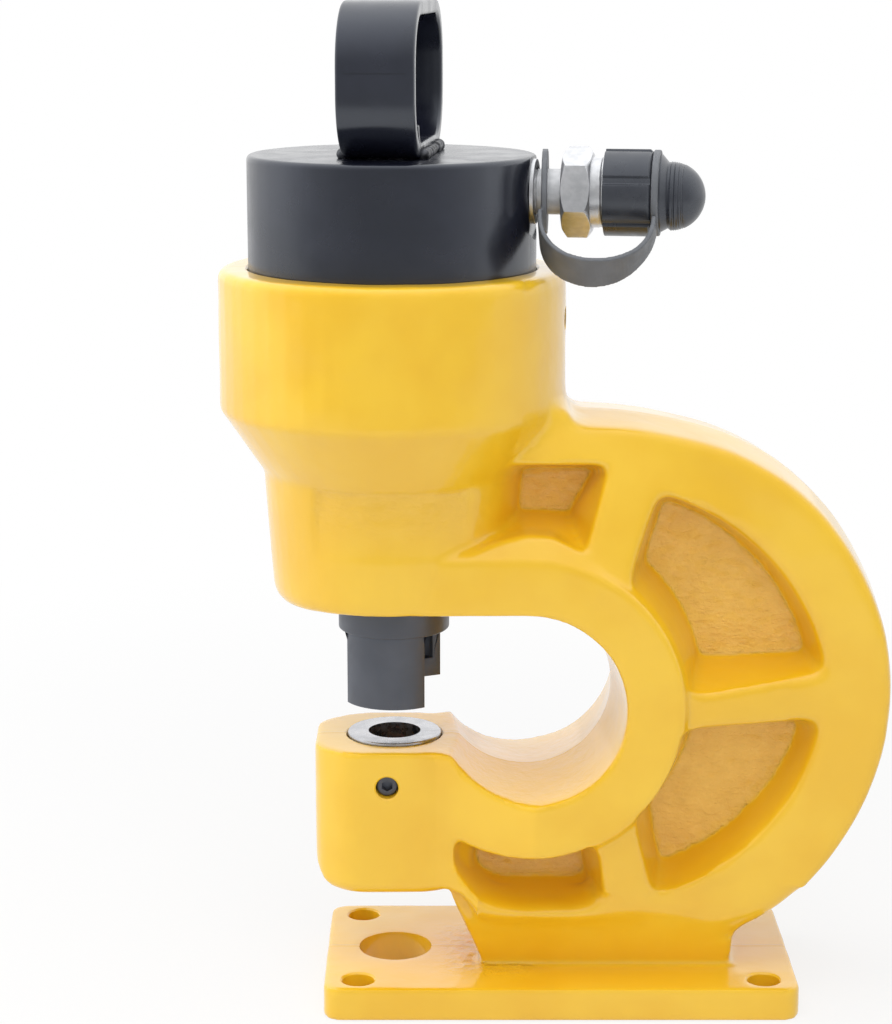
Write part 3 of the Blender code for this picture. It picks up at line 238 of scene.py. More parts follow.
MIDDLE = (0, 0, 0.2)
top = soft_lamp("top_softbox", (-0.1, -0.45, 1.45), MIDDLE, (1.3, 1.3), 11.5)
left = soft_lamp("left_softbox", (-1.35, 0.2, 0.7), MIDDLE, (0.7, 1.4), 11)
front = soft_lamp("front_softbox", (0.2, -1.7, 0.9), MIDDLE, (1.6, 1.2), 8.2)
top.visible_glossy = left.visible_glossy = front.visible_glossy = False
print("three lamps of", top.data.energy, "and", left.data.energy, "and", round(front.data.energy, 1), "watts")

# %% World
TENT = 0.42
SHINE_FRONT, SHINE_BACK, SHINE_ABOVE = 0.3, 1.25, 0.4

world = bpy.data.worlds.new("white_tent")
bpy.context.scene.world = world
world.use_nodes = True
world_nodes, world_links = world.node_tree.nodes, world.node_tree.links
background = world_nodes["Background"]
background.inputs["Color"].default_value = (1, 1, 1, 1)


def world_node(kind, *inputs, **settings):
    """A node of the world, with its inputs given in order as numbers or sockets."""
    node = world_nodes.new(kind)
    for name, value in settings.items():
        setattr(node, name, value)
    for socket, value in zip(node.inputs, inputs):
        if isinstance(value, (int, float)):
            socket.default_value = value
        else:
            world_links.new(value, socket)
    return node.outputs[0]


rays = world_nodes.new("ShaderNodeLightPath").outputs
direction = world_nodes.new("ShaderNodeTexCoord").outputs["Generated"]
towards = world_nodes.new("ShaderNodeSeparateXYZ")
world_links.new(direction, towards.inputs[0])
shine = world_node("ShaderNodeMapRange", towards.outputs["Y"], -1.0, 0.1, SHINE_FRONT, SHINE_BACK)
shine = world_node("ShaderNodeMath", towards.outputs["Z"], SHINE_ABOVE, shine, operation="MULTIPLY_ADD")
shine = world_node("ShaderNodeMath", shine, rays["Is Glossy Ray"], operation="MULTIPLY")
white = world_node("ShaderNodeMath", rays["Is Camera Ray"], rays["Is Transmission Ray"], operation="MAXIMUM")
shown = world_node("ShaderNodeMath", white, shine, operation="MAXIMUM")
world_links.new(world_node("ShaderNodeMath", shown, TENT, operation="MAXIMUM"), background.inputs["Strength"])

bpy.context.scene.view_settings.view_transform = "Standard"
print("the even light has a strength of", TENT)

# %% Floor
# White glow takes over from the shaded floor between these distances, and dims for reflections near the eye.
SHADOW_ROOM, GLOW_FROM = 0.25, 0.75
EYE_SIDE, TOOL_SIDE, EYE_SIDE_SHADE = -1.2, -0.6, 0.45

floor_finish = new_finish("pale_floor", (0.86, 0.86, 0.86, 1), 0.9)
floor_rays = add_node(floor_finish, "ShaderNodeLightPath").outputs
to_eye = sum_of(floor_finish, floor_rays["Is Camera Ray"], floor_rays["Is Glossy Ray"], "MAXIMUM")
to_eye = sum_of(floor_finish, to_eye, floor_rays["Is Transmission Ray"], "MAXIMUM")
floor_sides = add_node(floor_finish, "ShaderNodeSeparateXYZ")
join(floor_finish, place_of(floor_finish), floor_sides.inputs["Vector"])
shade = between(floor_finish, floor_sides.outputs["Y"], EYE_SIDE, TOOL_SIDE, EYE_SIDE_SHADE, 1.0)
glow = add_node(floor_finish, "ShaderNodeEmission")
shade = sum_of(floor_finish, shade, floor_rays["Is Camera Ray"], "MAXIMUM")
join(floor_finish, shade, glow.inputs["Strength"])
mix = add_node(floor_finish, "ShaderNodeMixShader")
away = add_node(floor_finish, "ShaderNodeVectorMath", operation="LENGTH")
join(floor_finish, place_of(floor_finish), away.inputs[0])
white = between(floor_finish, away.outputs["Value"], SHADOW_ROOM, GLOW_FROM, 0.8, 1.0)
join(floor_finish, sum_of(floor_finish, to_eye, white, "MULTIPLY"), mix.inputs["Fac"])
join(floor_finish, shader_of(floor_finish).outputs["BSDF"], mix.inputs[1])
join(floor_finish, glow.outputs["Emission"], mix.inputs[2])
join(floor_finish, mix.outputs["Shader"], floor_finish.node_tree.nodes["Material Output"].inputs["Surface"])

floor_mesh = bpy.data.meshes.new("floor")
floor_bm = bmesh.new()
bmesh.ops.create_grid(floor_bm, x_segments=1, y_segments=1, size=6)
floor_bm.to_mesh(floor_mesh)
floor_bm.free()
floor = bpy.data.objects.new("floor", floor_mesh)
bpy.context.scene.collection.objects.link(floor)
floor_mesh.materials.append(floor_finish)
print("floor:", tuple(floor.dimensions), "m")

# %% [markdown]
# Yellow enamel over cast iron
# Sand leaves a skin that rolls gently over centimetres and is pebbled over millimetres. Thick glossy paint
# fills the pebbles but follows the rolls, so highlights on it look wavy. On the floors of the pockets nobody
# grinds the sand skin away: the paint is thin there, browner and duller. A value stored on each vertex, called
# hollow, says where that is. A second one, wrinkled, says where thick enamel ran and dried in folds.

# %% Yellow enamel
ENAMEL = linear(239, 188, 26)
ENAMEL_PALE = linear(244, 197, 40)
ENAMEL_THIN = linear(245, 199, 84)
ENAMEL_BROWN = linear(236, 188, 72)
GLOSSY, DULL = 0.32, 0.5

enamel = new_finish("yellow_enamel", ENAMEL, GLOSSY, Coat_Weight=0.75, Coat_Roughness=0.08)
hollow = add_node(enamel, "ShaderNodeAttribute", attribute_name="hollow").outputs["Fac"]
cloudy = mixed(enamel, between(enamel, speckle(enamel, 45), 0.35, 0.65), ENAMEL, ENAMEL_PALE)
thin = mixed(enamel, between(enamel, speckle(enamel, 9, 3), 0.25, 0.75), ENAMEL_THIN, ENAMEL_BROWN)
duller = between(enamel, hollow, 0, 1, GLOSSY, DULL)
paint_over(enamel, mixed(enamel, hollow, cloudy, thin), duller)
wrinkled = add_node(enamel, "ShaderNodeAttribute", attribute_name="wrinkled").outputs["Fac"]
sand = sum_of(enamel, speckle(enamel, 4.5, 4, 0.6, (1, 1, 1.8)), sum_of(enamel, hollow, wrinkled), "MULTIPLY")
sides = add_node(enamel, "ShaderNodeSeparateXYZ")
join(enamel, place_of(enamel), sides.inputs["Vector"])
parting = between(enamel, sum_of(enamel, sides.outputs["Y"], 0.0, "ABSOLUTE"), 0.0011, 0.0004)
raise_by(enamel, [(speckle(enamel, 22, 2), 0.6), (speckle(enamel, 6, 2), 0.12), (speckle(enamel, 2.2, 2), 0.03),
                  (sand, 1.9), (parting, 0.25)])
print("enamel:", len(enamel.node_tree.nodes), "nodes")

# %% [markdown]
# Black, bright and soft finishes
# The barrel and handle are sprayed black over turned steel. The stripper and screws are blackened in hot salt,
# which keeps the marks of the tool. Zinc is a pale metal with a faint crystal mottling, paler where the nipple is
# plated dull. The dust cap is moulded plastic, and its tether is rubber with a dry, greyish bloom. One colour all
# over would look like a drawing, so each finish wanders between two near colours and two near kinds of gloss.

# %% Black finishes
COOL = {"Specular_Tint": (0.86, 0.92, 1, 1)}

weld_finish = new_finish("weld_bead", linear(48, 49, 54), 0.34, 0.55)
mottled(weld_finish, linear(30, 31, 35), linear(96, 98, 104), (3, 4), (1.6, 3), 0.26, 0.5, (0.35, 0.7))
raise_by(weld_finish, [(speckle(weld_finish, 0.9, 3), 0.06)])

black_paint = new_finish("black_paint", linear(24, 26, 36), 0.24, Specular_IOR_Level=1.0, **COOL)
mottled(black_paint, linear(20, 22, 33), linear(28, 30, 42), (30, 3), (12, 3), 0.21, 0.28, (0.35, 0.65))
streaks = speckle(black_paint, 9, 2, stretch=(1, 1, 0.08))
raise_by(black_paint, [(streaks, 0.12), (speckle(black_paint, 1.2, 2), 0.006)])

black_oxide = new_finish("black_oxide", linear(68, 71, 80), 0.42, 0.2, Specular_IOR_Level=1.0, **COOL)
mottled(black_oxide, linear(66, 69, 78), linear(74, 77, 86), (14, 2), (6, 2), 0.38, 0.46)
raise_by(black_oxide, [(speckle(black_oxide, 0.5, 2, stretch=(0.2, 0.2, 4)), 0.01)])

plastic = new_finish("black_plastic", linear(46, 48, 54), 0.3, Specular_IOR_Level=0.8, **COOL)
mottled(plastic, linear(42, 44, 51), linear(53, 55, 61), (14, 3), (6, 3), 0.26, 0.36)
raise_by(plastic, [(speckle(plastic, 0.6, 3), 0.008)])

rubber = new_finish("black_rubber", linear(102, 105, 110), 0.46)
mottled(rubber, linear(98, 101, 106), linear(108, 111, 116), (9, 4), (5, 3), 0.42, 0.58)
raise_by(rubber, [(speckle(rubber, 0.8, 3), 0.02)])
print("black finishes:", ", ".join(m.name for m in (weld_finish, black_paint, black_oxide, plastic, rubber)))

# %% Bright finishes
zinc = new_finish("zinc_plate", linear(212, 214, 217), 0.34, 0.9)
mottled(zinc, linear(204, 206, 209), linear(220, 221, 224), (3, 5), (4, 4), 0.32, 0.4)
raise_by(zinc, [(speckle(zinc, 0.7, 3), 0.004)])
zinc_pale = zinc.copy()
zinc_pale.name = "zinc_plate_pale"
shader_of(zinc_pale).inputs["Metallic"].default_value = 0.15

steel = new_finish("ground_steel", linear(176, 177, 180), 0.27, 1.0)
mottled(steel, linear(168, 169, 173), linear(186, 186, 189), (6, 4), (2, 3), 0.22, 0.34)
raise_by(steel, [(speckle(steel, 0.4, 2, stretch=(0.3, 0.3, 5)), 0.004)])

bronze = new_finish("bronze", linear(190, 140, 80), 0.35, 1.0)
mottled(bronze, linear(172, 122, 66), linear(204, 156, 94), (4, 4), (2, 3), 0.3, 0.42)
print("bright finishes:", ", ".join(m.name for m in (zinc, zinc_pale, steel, bronze)))

# %% [markdown]
# Shape helpers
# Four ways of making shapes serve most of this tool. A lathe spins an outline about the upright axis, as the
# real parts were turned. A carve cuts one closed shape with another. A bevel breaks the edges that a file or a
# wire brush would break. Voxels fuse lumps into one skin. A piece then carries the shape to its place, gives it
# a finish and ties it to the CAD part that it stands for.

# %% Turned and drilled shapes
def lathe(profile, steps=96, ring=False):
    """Spins (radius, height) points a full turn about Z. A ring's outline closes on itself."""
    bm = bmesh.new()
    points = [bm.verts.new((radius, 0, height)) for radius, height in profile]
    edges = [bm.edges.new(pair) for pair in zip(points, points[1:])]
    if ring:
        edges.append(bm.edges.new((points[-1], points[0])))
    bmesh.ops.spin(bm, geom=points + edges, cent=(0, 0, 0), axis=(0, 0, 1), angle=2 * math.pi,
                   steps=steps, use_merge=True, use_duplicate=False)
    bmesh.ops.remove_doubles(bm, verts=bm.verts, dist=1e-6)
    bmesh.ops.recalc_face_normals(bm, faces=bm.faces)
    return bm


def softened(profile, corners, radius, points=3):
    """Rounds the named corners of an outline with a small arc."""
    rounded = []
    for index, corner in enumerate(profile):
        if index not in corners:
            rounded.append(corner)
            continue
        here = Vector(corner)
        before, after = Vector(profile[index - 1]), Vector(profile[(index + 1) % len(profile)])
        start = here + (before - here).normalized() * radius
        end = here + (after - here).normalized() * radius
        for step in range(points + 1):
            share = step / points
            rounded.append(tuple(start.lerp(here, share).lerp(here.lerp(end, share), share)))
    return rounded


def rod(radius, low, high, steps=64, place=Matrix()):
    bm = bmesh.new()
    bmesh.ops.create_cone(bm, cap_ends=True, segments=steps, radius1=radius, radius2=radius, depth=high - low,
                          matrix=place @ Matrix.Translation((0, 0, (low + high) / 2)))
    return bm


def block(x_range, y_range, z_range, place=Matrix()):
    bm = bmesh.new()
    ranges = (x_range, y_range, z_range)
    middle = Matrix.Translation([(low + high) / 2 for low, high in ranges])
    size = Matrix.Diagonal([*(high - low for low, high in ranges), 1])
    bmesh.ops.create_cube(bm, size=1, matrix=place @ middle @ size)
    return bm


def prism(outline, low, high):
    """A flat outline in XY, raised from low to high."""
    bm = bmesh.new()
    face = bm.faces.new([bm.verts.new((x, y, low)) for x, y in outline])
    raised = bmesh.ops.extrude_face_region(bm, geom=[face])["geom"]
    top = [item for item in raised if isinstance(item, bmesh.types.BMVert)]
    bmesh.ops.translate(bm, verts=top, vec=(0, 0, high - low))
    bmesh.ops.recalc_face_normals(bm, faces=bm.faces)
    return bm


# %% Cutting, rounding and fusing
def spare_object(bm):
    mesh = bpy.data.meshes.new("spare")
    bm.to_mesh(mesh)
    bm.free()
    obj = bpy.data.objects.new("spare", mesh)
    bpy.context.scene.collection.objects.link(obj)
    return obj


def remove(obj):
    data = obj.data
    bpy.data.objects.remove(obj)
    bpy.data.meshes.remove(data)


def settled(obj):
    """The object's shape with its modifiers worked out, as a bmesh. The object goes."""
    graph = bpy.context.evaluated_depsgraph_get()
    mesh = bpy.data.meshes.new_from_object(obj.evaluated_get(graph))
    bm = bmesh.new()
    bm.from_mesh(mesh)
    bpy.data.meshes.remove(mesh)
    remove(obj)
    return bm


def modified(bm, kind, **settings):
    """The shape after one modifier."""
    obj = spare_object(bm)
    modifier = obj.modifiers.new(kind.lower(), kind)
    for name, value in settings.items():
        setattr(modifier, name, value)
    return settled(obj)


def carve(body, tool, operation="DIFFERENCE", solver="MANIFOLD"):
    tool_obj = spare_object(tool)
    result = modified(body, "BOOLEAN", operation=operation, solver=solver, object=tool_obj)
    remove(tool_obj)
    return result


def joined(*shapes):
    """Puts several shapes into one mesh and frees them."""
    whole = bmesh.new()
    for shape in shapes:
        spare = bpy.data.meshes.new("spare")
        shape.to_mesh(spare)
        shape.free()
        whole.from_mesh(spare)
        bpy.data.meshes.remove(spare)
    return whole


def bevelled(bm, width, segments=2, angle=38.0):
    return modified(bm, "BEVEL", width=width, segments=segments, limit_method="ANGLE",
                    angle_limit=math.radians(angle), use_clamp_overlap=True, loop_slide=False)


def voxelled(bm, size):
    return modified(bm, "REMESH", mode="VOXEL", voxel_size=size)


def thinned(bm, share):
    return modified(bm, "DECIMATE", ratio=share)


def relaxed(bm, rounds, where=None):
    """Pulls points half way to the middle of their neighbours: all, or those whose place passes a test."""
    points = [point for point in bm.verts if where(point.co)] if where else bm.verts
    for _ in range(rounds):
        bmesh.ops.smooth_vert(bm, verts=points, factor=0.5, use_axis_x=True, use_axis_y=True, use_axis_z=True)
    return bm


def piece(name, bm, finish, body, stands_for=(), place=Matrix(), sharp=34.0):
    """Turns a shape into a finished piece that rides on a CAD body. A piece given no body rides on none."""
    bm.transform(place)
    mesh = bpy.data.meshes.new(name)
    bm.to_mesh(mesh)
    bm.free()
    mesh.materials.append(finish)
    mesh.shade_smooth()
    mesh.set_sharp_from_angle(angle=math.radians(sharp))
    obj = bpy.data.objects.new(name, mesh)
    bpy.context.scene.collection.objects.link(obj)
    if body:
        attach(obj, body)
    if stands_for:
        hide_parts(*stands_for)
    mesh.calc_loop_triangles()
    print(f"{name}: {len(mesh.loop_triangles)} triangles")
    return obj


# %% [markdown]
# The casting
# One pour of iron makes collar, boss, C-shaped back, jaw, foot and plate, and the sand rounds every edge and
# fills every inner corner. Modelling all those fillets by hand is slow. Instead the two CAD solids are joined,
# turned into small voxels and relaxed, which rounds edges and fills corners in the way a mould does. Machined
# places stay sharp on the real thing, so their holes are plugged first and bored again afterwards.

# %% Copy the CAD solids
PLATE_T = 0.013
JAW_TOP_Z = 0.106
JAW_BOTTOM_Z = 0.0466
BOSS_TOP_Z = 0.2167
COLLAR_TOP_Z = 0.2966
BARREL_SEAT_Z = 0.232
BUSH_TOP_Z = 0.208
BUSH_Z = 0.186
STRIPPER_SEAT_Z = 0.179
BARREL_R = 0.0563
BORE_R = 0.0375


def copy_of(node):
    """The node's loose triangles, welded, placed from the punch axis."""
    bm = bmesh.new()
    bm.from_mesh(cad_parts[node].data)
    bmesh.ops.remove_doubles(bm, verts=bm.verts, dist=2e-6)
    bm.transform(AT_PUNCH.inverted())
    return bm


casting = copy_of("frame_casting")
plate = copy_of("base_plate")
# The foot stands on the plate a hair higher, so that the two shells overlap.
PLATE_OVERLAP = 0.0004
plate_top = [v for v in plate.verts if abs(v.co.z - PLATE_T) < 1e-5]
bmesh.ops.translate(plate, verts=plate_top, vec=(0, 0, PLATE_OVERLAP))
print("casting", len(casting.faces), "plate", len(plate.faces), "faces")

# %% Holes in the casting
PLATE_MIDDLE_X = 0.0672
BOLT_X, BOLT_Y = 0.0815, 0.035
SCREW_HOLE_R = 0.00455
DIE_SCREW = Matrix.Translation((-0.0025, 0, 0.0916)) @ Matrix.Rotation(math.radians(90), 4, "X")
SCREW_TURN = Matrix.Rotation(math.radians(-BARREL_SCREW_TURN), 4, "Z")
BARREL_SCREW = SCREW_TURN @ Matrix.Translation((0, 0, 0.277)) @ ALONG_X
BOLTS = [(PLATE_MIDDLE_X + side * BOLT_X, end * BOLT_Y) for side in (-1, 1) for end in (-1, 1)]

plugs = [rod(0.0072, 0, PLATE_T, 48, Matrix.Translation((x, y, 0))) for x, y in BOLTS]
plugs.append(rod(0.0157, 0, PLATE_T, 80))
plugs.append(rod(SCREW_HOLE_R + 0.0007, 0.012, 0.029, 40, DIE_SCREW))
plugs.append(rod(SCREW_HOLE_R + 0.0007, 0.05, 0.0682, 40, BARREL_SCREW))
plugs.append(lathe([(0, COLLAR_TOP_Z), (0.058, COLLAR_TOP_Z), (0.058, 0.2285), (0.032, 0.2285), (0.032, 0.205),
                    (0.0255, 0.205), (0.0255, 0.176), (0, 0.176)], 64))
plugs.append(rod(0.0232, 0.1652, 0.181))
plugs.append(lathe([(0, JAW_TOP_Z), (0.0202, JAW_TOP_Z), (0.0202, 0.080), (0.0138, 0.080),
                    (0.0138, JAW_BOTTOM_Z), (0, JAW_BOTTOM_Z)], 64))
print(len(plugs), "plugs")

# %% [markdown]
# The sunk panel on the boss
# Under the cone, the front of the boss has a shallow sunk panel with a crisp upper edge. It fades out downwards,
# because the boss leans outwards there and the panel's floor doesn't. A thin ring that leans less than the boss,
# cut to a front sector, takes it away before the voxels, so its corners get sand-cast roundings too.

# %% Sunk panel
PANEL_HALF = 0.0295
PANEL_TOP_R, PANEL_LOW_R, PANEL_CLEAR_R = 0.0494, 0.0492, 0.062
PANEL_TOP_Z, PANEL_LOW_Z = BOSS_TOP_Z - 0.0006, 0.189
panel = lathe([(PANEL_TOP_R, PANEL_TOP_Z), (PANEL_CLEAR_R, PANEL_TOP_Z), (PANEL_CLEAR_R, PANEL_LOW_Z),
               (PANEL_LOW_R, PANEL_LOW_Z)], 96, ring=True)
panel = carve(panel, block((-PANEL_HALF, PANEL_HALF), (-0.07, -0.02), (0.18, 0.23)), "INTERSECT")
casting = carve(casting, panel)
print("casting with its panel:", len(casting.faces), "faces")

# %% [markdown]
# The shelf over the throat
# The flange round the throat stands proud of the ribs. Between the boss and the first rib its edge runs straight
# on, and a sloping shelf climbs from it to the mouth of the small pocket. Short hulls along that edge, one on
# each face of the casting, make the shelf, and the voxels will melt them into one.

# %% Shelf
THROAT = Vector((0.0530, 0.1280))
FLANGE_HALF = 0.046
SHELF_DEEP = 0.012
SHELF_LOW = 0.014
# Along the shelf in millimetres: the edge's place as (x, z), how far the shelf climbs, and how far it leans back.
SHELF = ((15, 188.4, 0.4, 0.4), (29, 188.5, 3.0, 3.0), (41, 188.4, 7.0, 5.0), (52, 188.3, 9.4, 6.0),
         (61, 187.9, 9.2, 6.0), (70, 185.8, 6.6, 5.0), (80, 181.7, 3.0, 3.0), (88, 177.0, 0.6, 0.6))


def shelf_section(x, z, climb, lean):
    edge = Vector((x, z)) / 1000
    outwards = (edge - THROAT).normalized() if x > 1000 * THROAT.x else Vector((0, 1))
    top, low = edge + outwards * climb / 1000, edge - outwards * SHELF_LOW
    proud = [(edge, FLANGE_HALF), (top, FLANGE_HALF - lean / 1000), (low, FLANGE_HALF)]
    return proud + [(top, SHELF_DEEP), (low, SHELF_DEEP)]


def hull_of(corners):
    """The tight skin round a handful of corners."""
    hull = bmesh.new()
    for corner in corners:
        hull.verts.new(corner)
    bmesh.ops.convex_hull(hull, input=hull.verts)
    bmesh.ops.recalc_face_normals(hull, faces=hull.faces)
    return hull


fillings = []
for side in (-1, 1):
    for first, second in zip(SHELF, SHELF[1:]):
        sections = shelf_section(*first) + shelf_section(*second)
        fillings.append(hull_of([(place.x, side * depth, place.y) for place, depth in sections]))
print(len(fillings), "pieces of shelf")

# %% [markdown]
# Two thick roots
# The first rib widens towards its root, which cuts a corner off the small pocket. The foot's left edge runs down
# to the plate in one slope. Both are wedges, again as hulls, given by corners in millimetres.

# %% Wedges at the rib and at the foot
RIB_ROOT = ((84.2, 32.4, 224), (81.5, 40.2, 191), (75, 40.8, 191), (79, 10, 217), (78, 10, 199), (69.5, 10, 199))
FOOT_SIDE = ((22.5, 23, 45.8), (28, 26, 36), (36, 20, 13.5), (45, 20, 13.5), (45, 28.5, 37), (45, 28.5, 46))
for side in (-1, 1):
    fillings.append(hull_of([(x / 1000, side * y / 1000, z / 1000) for x, y, z in RIB_ROOT]))
fillings.append(hull_of([(x / 1000, side * y / 1000, z / 1000) for x, y, z in FOOT_SIDE for side in (-1, 1)]))
print(len(fillings), "fillings with the wedges")

# %% [markdown]
# Rounding it the way sand does
# A voxel half as wide as the smallest fillet gives an even net of small squares. A few rounds of relaxing pull
# each point to the middle of its neighbours: flat places stay, edges become round. Then every point moves by a
# fraction of a millimetre along its normal, with a slow noise for the rolling skin and a quick one in the
# pockets, so that the sand is in the shape and not only in the paint.

# %% Voxels and relaxing
VOXEL = 0.0012
FOOT_CREASE_Z = 0.038


def from_throat(place):
    return math.hypot(place.x - THROAT.x, place.z - THROAT.y)


def on_the_back(place):
    """The ribs, the pockets and the rim, clear of the throat's flange."""
    return from_throat(place) > 0.066 and place.x > 0.03 and place.z > 0.02


def on_the_rim(place):
    return from_throat(place) > 0.103 and place.x > 0.05 and place.z > 0.05


def at_foot_crease(place):
    """The bend where the casting's side turns into the foot."""
    return abs(place.z - FOOT_CREASE_Z) < 0.012 and abs(place.y) > 0.016 and place.x > 0.034


skin = voxelled(joined(casting, plate, *fillings, *plugs), VOXEL)
print("voxel skin:", len(skin.faces), "squares")
relaxed(skin, 4)
for rounds, where in ((6, on_the_back), (16, on_the_rim), (90, at_foot_crease)):
    relaxed(skin, rounds, where)
skin.normal_update()

# %% Where the sand shows
WEB_FLOOR = 0.0105


def ramp(value, low, high):
    """0 at low, 1 at high, and smooth between them."""
    share = max(0.0, min(1.0, (value - low) / (high - low)))
    return share * share * (3 - 2 * share)


def hollowness(place, normal):
    """1 on the floors of the pockets between the ribs, a third in the boss's panel, 0 elsewhere."""
    deep = ramp(abs(place.y), WEB_FLOOR + 0.003, WEB_FLOOR)
    in_pocket = deep * ramp(abs(normal.y), 0.6, 0.85) * ramp(place.x, 0.015, 0.025)
    in_panel = ramp(place.z, 0.190, 0.213) * ramp(place.z, BOSS_TOP_Z, BOSS_TOP_Z - 0.001)
    in_panel *= ramp(place.y, -0.035, -0.04)
    return max(in_pocket, 0.35 * in_panel * ramp(abs(place.x), PANEL_HALF + 0.0005, PANEL_HALF - 0.001))


def wrinkling(place, normal):
    """1 where the enamel ran and wrinkled: on the plate's top at the foot, and on the throat's floor."""
    left_of_foot = ramp(place.x, 0.012, 0.03) * ramp(place.x, 0.065, 0.05)
    left_of_foot *= ramp(abs(place.y + 0.004), 0.034, 0.018)
    on_plate = left_of_foot * ramp(abs(place.z - PLATE_T), 0.004, 0.002)
    in_throat = 0.2 * ramp(from_throat(place), 0.042, 0.040) * ramp(place.z, THROAT.y, THROAT.y - 0.02)
    return ramp(normal.z, 0.5, 0.8) * max(on_plate, in_throat)


# %% Rolls and pebbles
ROLL, PEBBLE, SHRINK = 0.00018, 0.00042, 0.0001
GROUND_Z = 0.002
TRIANGLES = 170000

for point in skin.verts:
    if point.co.z > GROUND_Z:
        rough = hollowness(point.co, point.normal) + 0.6 * wrinkling(point.co, point.normal)
        dent = ROLL * noise.noise(point.co * 70) + PEBBLE * rough * noise.noise(point.co * 300)
        point.co -= point.normal * (dent + SHRINK)
skin = thinned(skin, min(1.0, TRIANGLES / (2 * len(skin.faces))))
print("thinned skin:", len(skin.faces), "triangles")

# %% [markdown]
# Boring it again
# The cutters have the true sizes of the machined holes. Each flares by half a millimetre at its mouth, which
# leaves the small chamfer that catches the light round a bolt hole.

# %% Machined holes
CHAMFER = 0.0007


def drill(radius, low, high, mouth, steps=64):
    """A cutter from low up to high that flares at the height of the hole's mouth."""
    far = radius + CHAMFER + (high - mouth)
    return lathe([(0, low), (radius, low), (radius, mouth - CHAMFER), (far, high), (0, high)], steps)


bores = [drill(0.0065, -0.01, 0.016, PLATE_T + 0.0002, 48) for _ in BOLTS]
for bore, (x, y) in zip(bores, BOLTS):
    bore.transform(Matrix.Translation((x, y, 0)))
bores.append(rod(0.015, -0.01, 0.020, 80))
bores.append(lathe([(0, 0.03), (0.013, 0.03), (0.013, 0.082), (0.0193, 0.082), (0.0193, JAW_TOP_Z - CHAMFER),
                    (0.0193 + 2 * CHAMFER, JAW_TOP_Z + CHAMFER), (0, JAW_TOP_Z + CHAMFER)], 96))
bores.append(lathe([(0, COLLAR_TOP_Z + 0.004), (BARREL_R + GAP + 0.005, COLLAR_TOP_Z + 0.004),
                    (BARREL_R + GAP, COLLAR_TOP_Z - 0.001), (BARREL_R + GAP, BARREL_SEAT_Z),
                    (0.030, BARREL_SEAT_Z), (0.030, BUSH_TOP_Z), (0.0243, BUSH_TOP_Z), (0.0243, BUSH_Z),
                    (0.0203, BUSH_Z), (0.0203, 0.182), (0.0172, 0.182), (0.0172, STRIPPER_SEAT_Z),
                    (0.0226, STRIPPER_SEAT_Z), (0.0226, 0.150), (0, 0.150)], 128))
skin = carve(skin, joined(*bores))
screws = [drill(SCREW_HOLE_R, 0.010, 0.034, 0.0290, 40), drill(SCREW_HOLE_R, 0.045, 0.074, 0.0683, 40)]
for screw, place in zip(screws, (DIE_SCREW, BARREL_SCREW)):
    screw.transform(place)
skin = carve(skin, joined(*screws))
skin.normal_update()
print("bored skin:", len(skin.faces), "faces")

# %% Mark the pocket floors and the wrinkles
hollow_layer = skin.verts.layers.float.new("hollow")
wrinkled_layer = skin.verts.layers.float.new("wrinkled")
for point in skin.verts:
    point[hollow_layer] = hollowness(point.co, point.normal)
    point[wrinkled_layer] = wrinkling(point.co, point.normal)
piece("casting_skin", skin, enamel, "frame", ("frame_casting", "base_plate"), AT_PUNCH)

# %% [markdown]
# The cylinder
# A thick turned cup, sprayed black. Its oil port sits on a spot face, a shallow flat that a cutter leaves so
# that the fitting can seal. The face is bare metal, so a thin bright washer lies on it.

# %% Barrel
BARREL_TOP_Z = 0.3403
BORE_TOP_Z = 0.303
PORT_FACE_X = 0.0552
PORT_R = 0.00905
barrel = [(0, BARREL_TOP_Z), (BARREL_R, BARREL_TOP_Z), (BARREL_R, BARREL_SEAT_Z + GAP),
          (BORE_R, BARREL_SEAT_Z + GAP), (BORE_R, BORE_TOP_Z), (0, BORE_TOP_Z)]
barrel = lathe(softened(barrel, (1, 2, 3), 0.0022, 5), 144)
port = lathe([(0, -0.002), (0.0035, -0.002), (0.0035, 0.040), (PORT_R, 0.040), (PORT_R, PORT_FACE_X - 0.001),
              (PORT_R + 0.001, PORT_FACE_X), (0.0185, PORT_FACE_X), (0.0185, 0.07), (0, 0.07)], 64)
port.transform(Matrix.Translation((0, 0, PORT_Z)) @ ALONG_X)
barrel = carve(barrel, port)
barrel = carve(barrel, rod(0.0045, BORE_TOP_Z - 0.01, PORT_Z + 0.004, 40))
piece("barrel_skin", barrel, black_paint, "frame", ("cylinder_barrel",), AT_CYLINDER)

# %% Washer
WASHER_R, WASHER_BORE_R = 0.0125, 0.0095
washer_low, washer_high = PORT_FACE_X + 0.00005, PORT_FACE_X + 0.0016
washer = [(WASHER_R, washer_high), (WASHER_R, washer_low), (WASHER_BORE_R, washer_low),
          (WASHER_BORE_R, washer_high)]
washer = lathe(softened(washer, (0, 3), 0.0004), 64, ring=True)
piece("port_face_washer", washer, zinc, "frame", place=AT_PORT)

# %% [markdown]
# The lifting handle
# One flat steel strap is bent into a loop with wide corners. Its inner end is turned up behind the front, and
# its bottom is welded to the barrel along both edges. A strap is a line swept sideways and given a thickness,
# so only its side view has to be drawn. A shallow seam across the front shows where the bend met the press. The
# weld is a row of overlapping lumps, fused by voxels.

# %% Handle
STRAP_W, STRAP_T = 0.0295, 0.0055
HANDLE_HIGH = 0.0583
HANDLE_HALF = 0.050
CORNER_R = 0.024
SEAM_HALF, SEAM_DEPTH, SEAM_Z = 0.0115, 0.0003, (0.3726, 0.3732)
AT_HANDLE = AT_PUNCH @ Matrix.Rotation(math.radians(-HANDLE_TURN), 4, "Z")
STRAP_LOW = BARREL_TOP_Z + GAP


